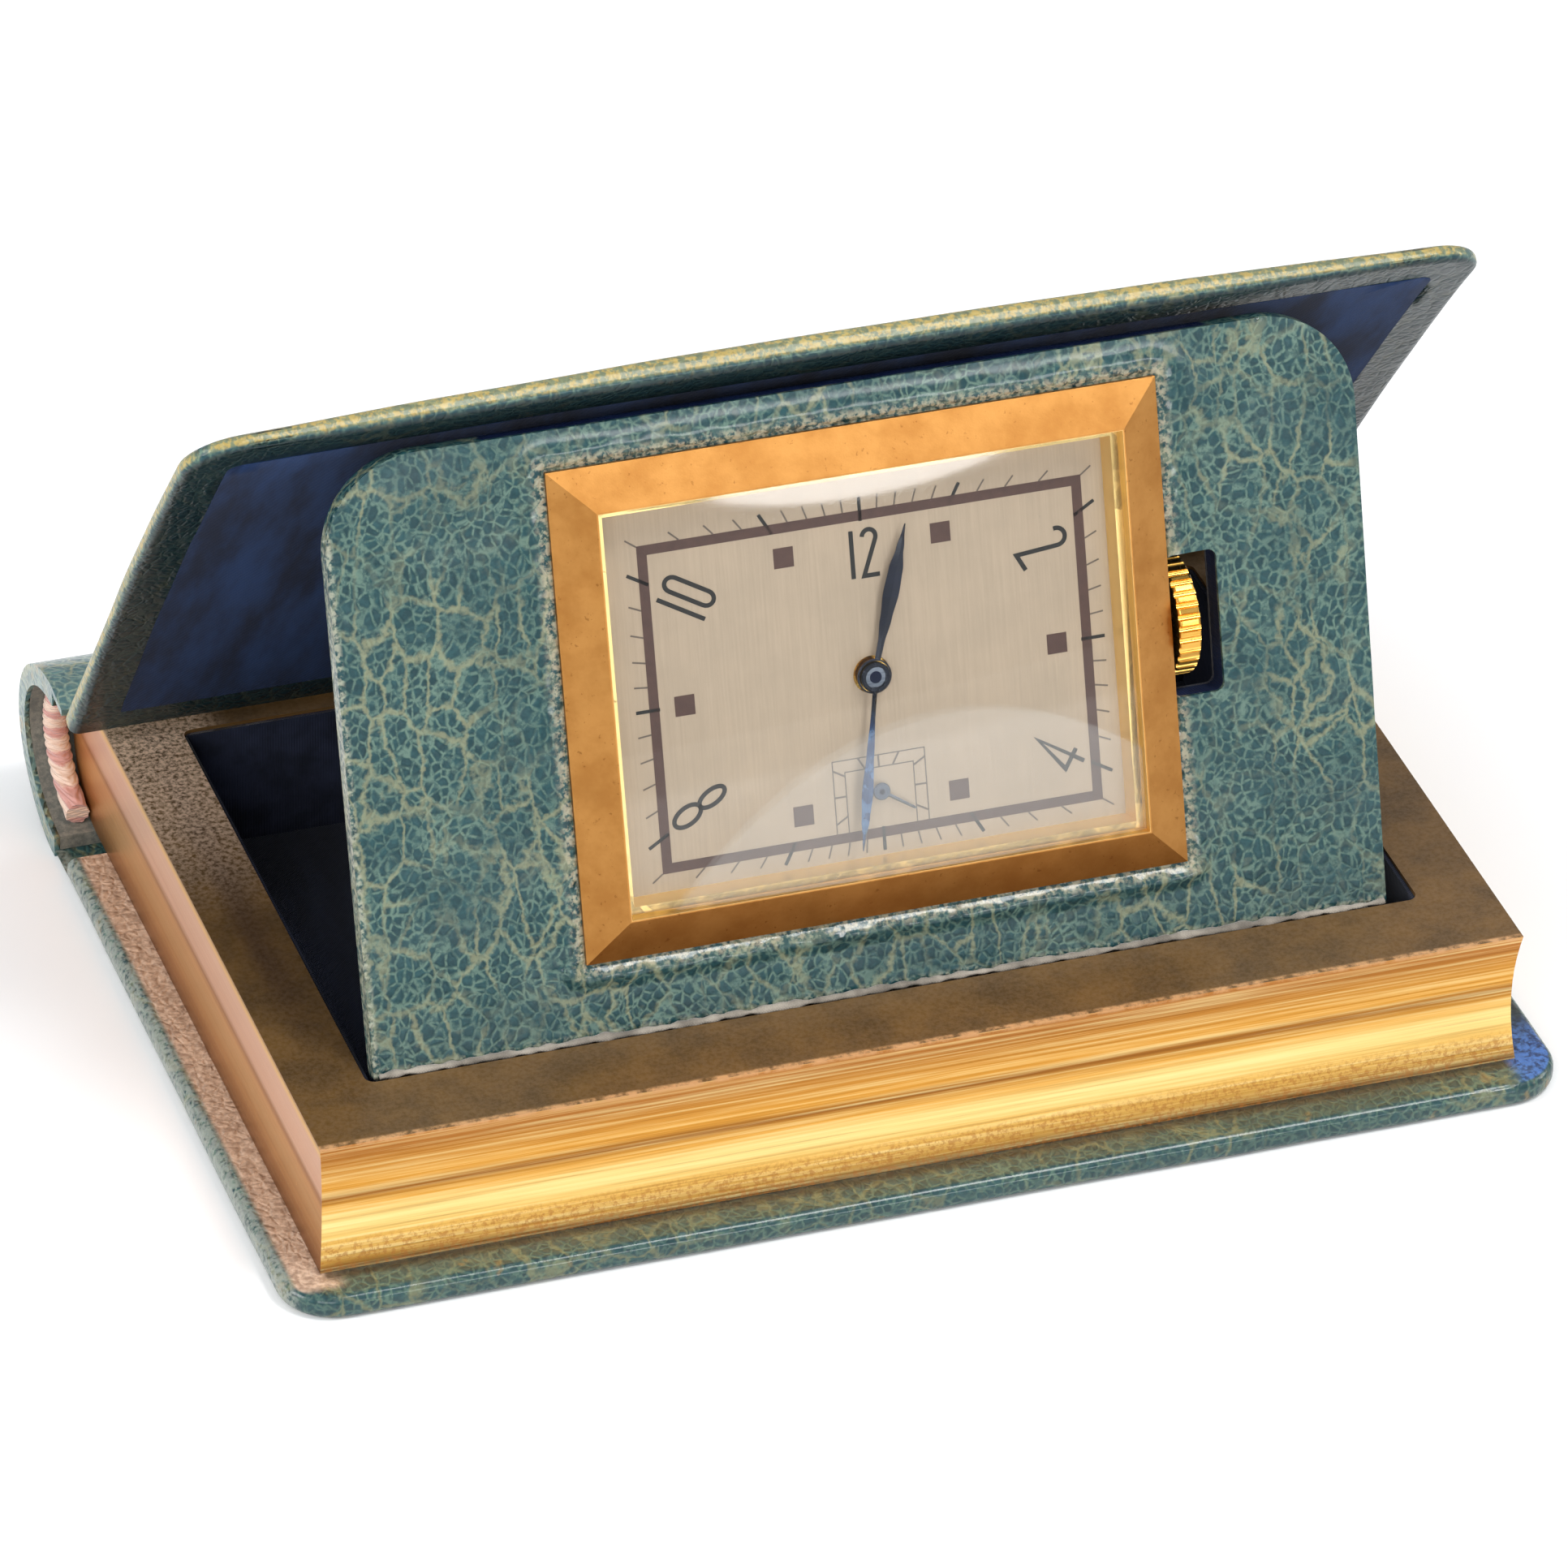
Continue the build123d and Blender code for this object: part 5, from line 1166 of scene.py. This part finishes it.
# each numeral's place in mm from the dial's centre, its turn in degrees, and its strokes, closed or not
numerals = (
    ((0.0, 7.0), 0, ((twelve_one, False), (twelve_two, False))),
    ((-10.4, 6.1), -60, ((ten_one, False), (ten_zero, True))),
    ((10.5, 5.7), 62, ((big_two, False),)),
    ((-10.5, -5.9), 60, ((eight_outer, True), (eight_inner, True))),
    ((10.6, -6.5), -58, ((four_stem, False),)),
)
numeral_lines = []
for place, turn, strokes in numerals:
    for points, closed in strokes:
        numeral_lines.append((placed(points, place, turn), numeral_stroke, closed))
printing("dial_numerals", numeral_lines, print_black)

seconds_v = seconds_centre[1] - dial_centre[1]
outer = seconds_track_half_width
inner = seconds_track_half_width - seconds_track_gap
floor_v = -frame_width / 2 + frame_band
small_track = []
for half, top in ((outer, seconds_track_top), (inner, seconds_track_top - seconds_track_gap)):
    corners = [(-half, floor_v), (-half, seconds_v + top), (half, seconds_v + top), (half, floor_v)]
    small_track.append((corners, seconds_line, False))
for tick in range(-4, 5):
    angle = math.radians(tick * 30)
    u = math.sin(angle)
    v = math.cos(angle)
    near = min(inner / max(abs(u), 1e-6), (seconds_track_top - seconds_track_gap) / max(v, 1e-6))
    far = min(outer / max(abs(u), 1e-6), seconds_track_top / max(v, 1e-6))
    if seconds_v + v * near > floor_v:
        tick_ends = [(u * near, seconds_v + v * near), (u * far, seconds_v + v * far)]
        small_track.append((tick_ends, seconds_tick, False))
printing("dial_seconds_track", small_track, print_grey)


# floor, light and camera

g = Graph("floor_paper")
cloud = g.noise(g.place(base), 60.0, 3.0, 0.5)
paper = g.finish(g.mix(cloud, (0.9, 0.9, 0.9, 1), (0.93, 0.93, 0.93, 1)), 0.9)
# half the floor's side, in metres
floor_half = 3.0
floor_mesh = bpy.data.meshes.new("floor")
floor_corners = [(x * floor_half, y * floor_half, 0) for x, y in ((-1, -1), (1, -1), (1, 1), (-1, 1))]
floor_mesh.from_pydata(floor_corners, [], [(0, 1, 2, 3)])
floor_mesh.materials.append(paper)
floor = linked("floor", floor_mesh)


def lamp(name, place, aim, width, height, watts, shape="RECTANGLE"):
    """A soft lamp, place, aim and size in mm."""
    data = bpy.data.lights.new(name, "AREA")
    data.shape = shape
    data.size = width * MM
    data.size_y = height * MM
    data.energy = watts
    made = linked(name, data)
    made.location = Vector(place) * MM
    made.rotation_euler = (Vector(aim) - Vector(place)).to_track_quat("-Z", "Y").to_euler()


lamp("key_lamp", (200, -230, 640), (0, 0, 15), 180, 180, 1.9)
lamp("left_lamp", (-620, -60, 330), (-20, 0, 5), 260, 260, 2.3)
lamp("front_lamp", (-330, -620, 330), (0, 0, 20), 420, 300, 1.7)
lamp("side_lamp", (520, -60, 240), (0, 0, 15), 200, 200, 0.8)
lamp("window_lamp", (244, -760, 165), (0, -15, 28), 260, 120, 0.8, "ELLIPSE")

# the world: white to the camera, a soft grey light from above to everything else
g = Graph("studio", world=True)
height = g.parts(g.node("ShaderNodeTexCoord").outputs["Generated"])[2]
sky = g.ramp(height, (0.0, (0.3, 0.31, 0.33, 1)), (0.6, (0.7, 0.71, 0.73, 1)))
soft = g.node("ShaderNodeBackground", {"Color": sky}).outputs["Background"]
white = g.node("ShaderNodeBackground", {"Color": (1, 1, 1, 1)}).outputs["Background"]
seen = g.node("ShaderNodeLightPath").outputs["Is Camera Ray"]
bpy.context.scene.world = g.shown(g.mix_shaders(seen, soft, white))

azimuth = math.radians(camera_azimuth)
elevation = math.radians(camera_elevation)
roll = math.radians(camera_roll)
level = math.cos(elevation)
back = Vector((math.sin(azimuth) * level, -math.cos(azimuth) * level, math.sin(elevation)))
right = (-back).cross(Z).normalized()
above = right.cross(-back)
turned_right = right * math.cos(roll) + above * math.sin(roll)
turned_above = above * math.cos(roll) - right * math.sin(roll)
camera_data = bpy.data.cameras.new("camera")
camera_data.lens = camera_lens
camera_data.sensor_width = camera_sensor
camera_data.clip_start = 0.05
camera_data.clip_end = 20.0
camera = linked("camera", camera_data)
turn = Matrix((turned_right, turned_above, back)).transposed().to_4x4()
camera.matrix_world = Matrix.Translation((Vector(camera_target) + back * camera_distance) * MM) @ turn
bpy.context.scene.camera = camera
bpy.context.scene.view_settings.view_transform = "Standard"
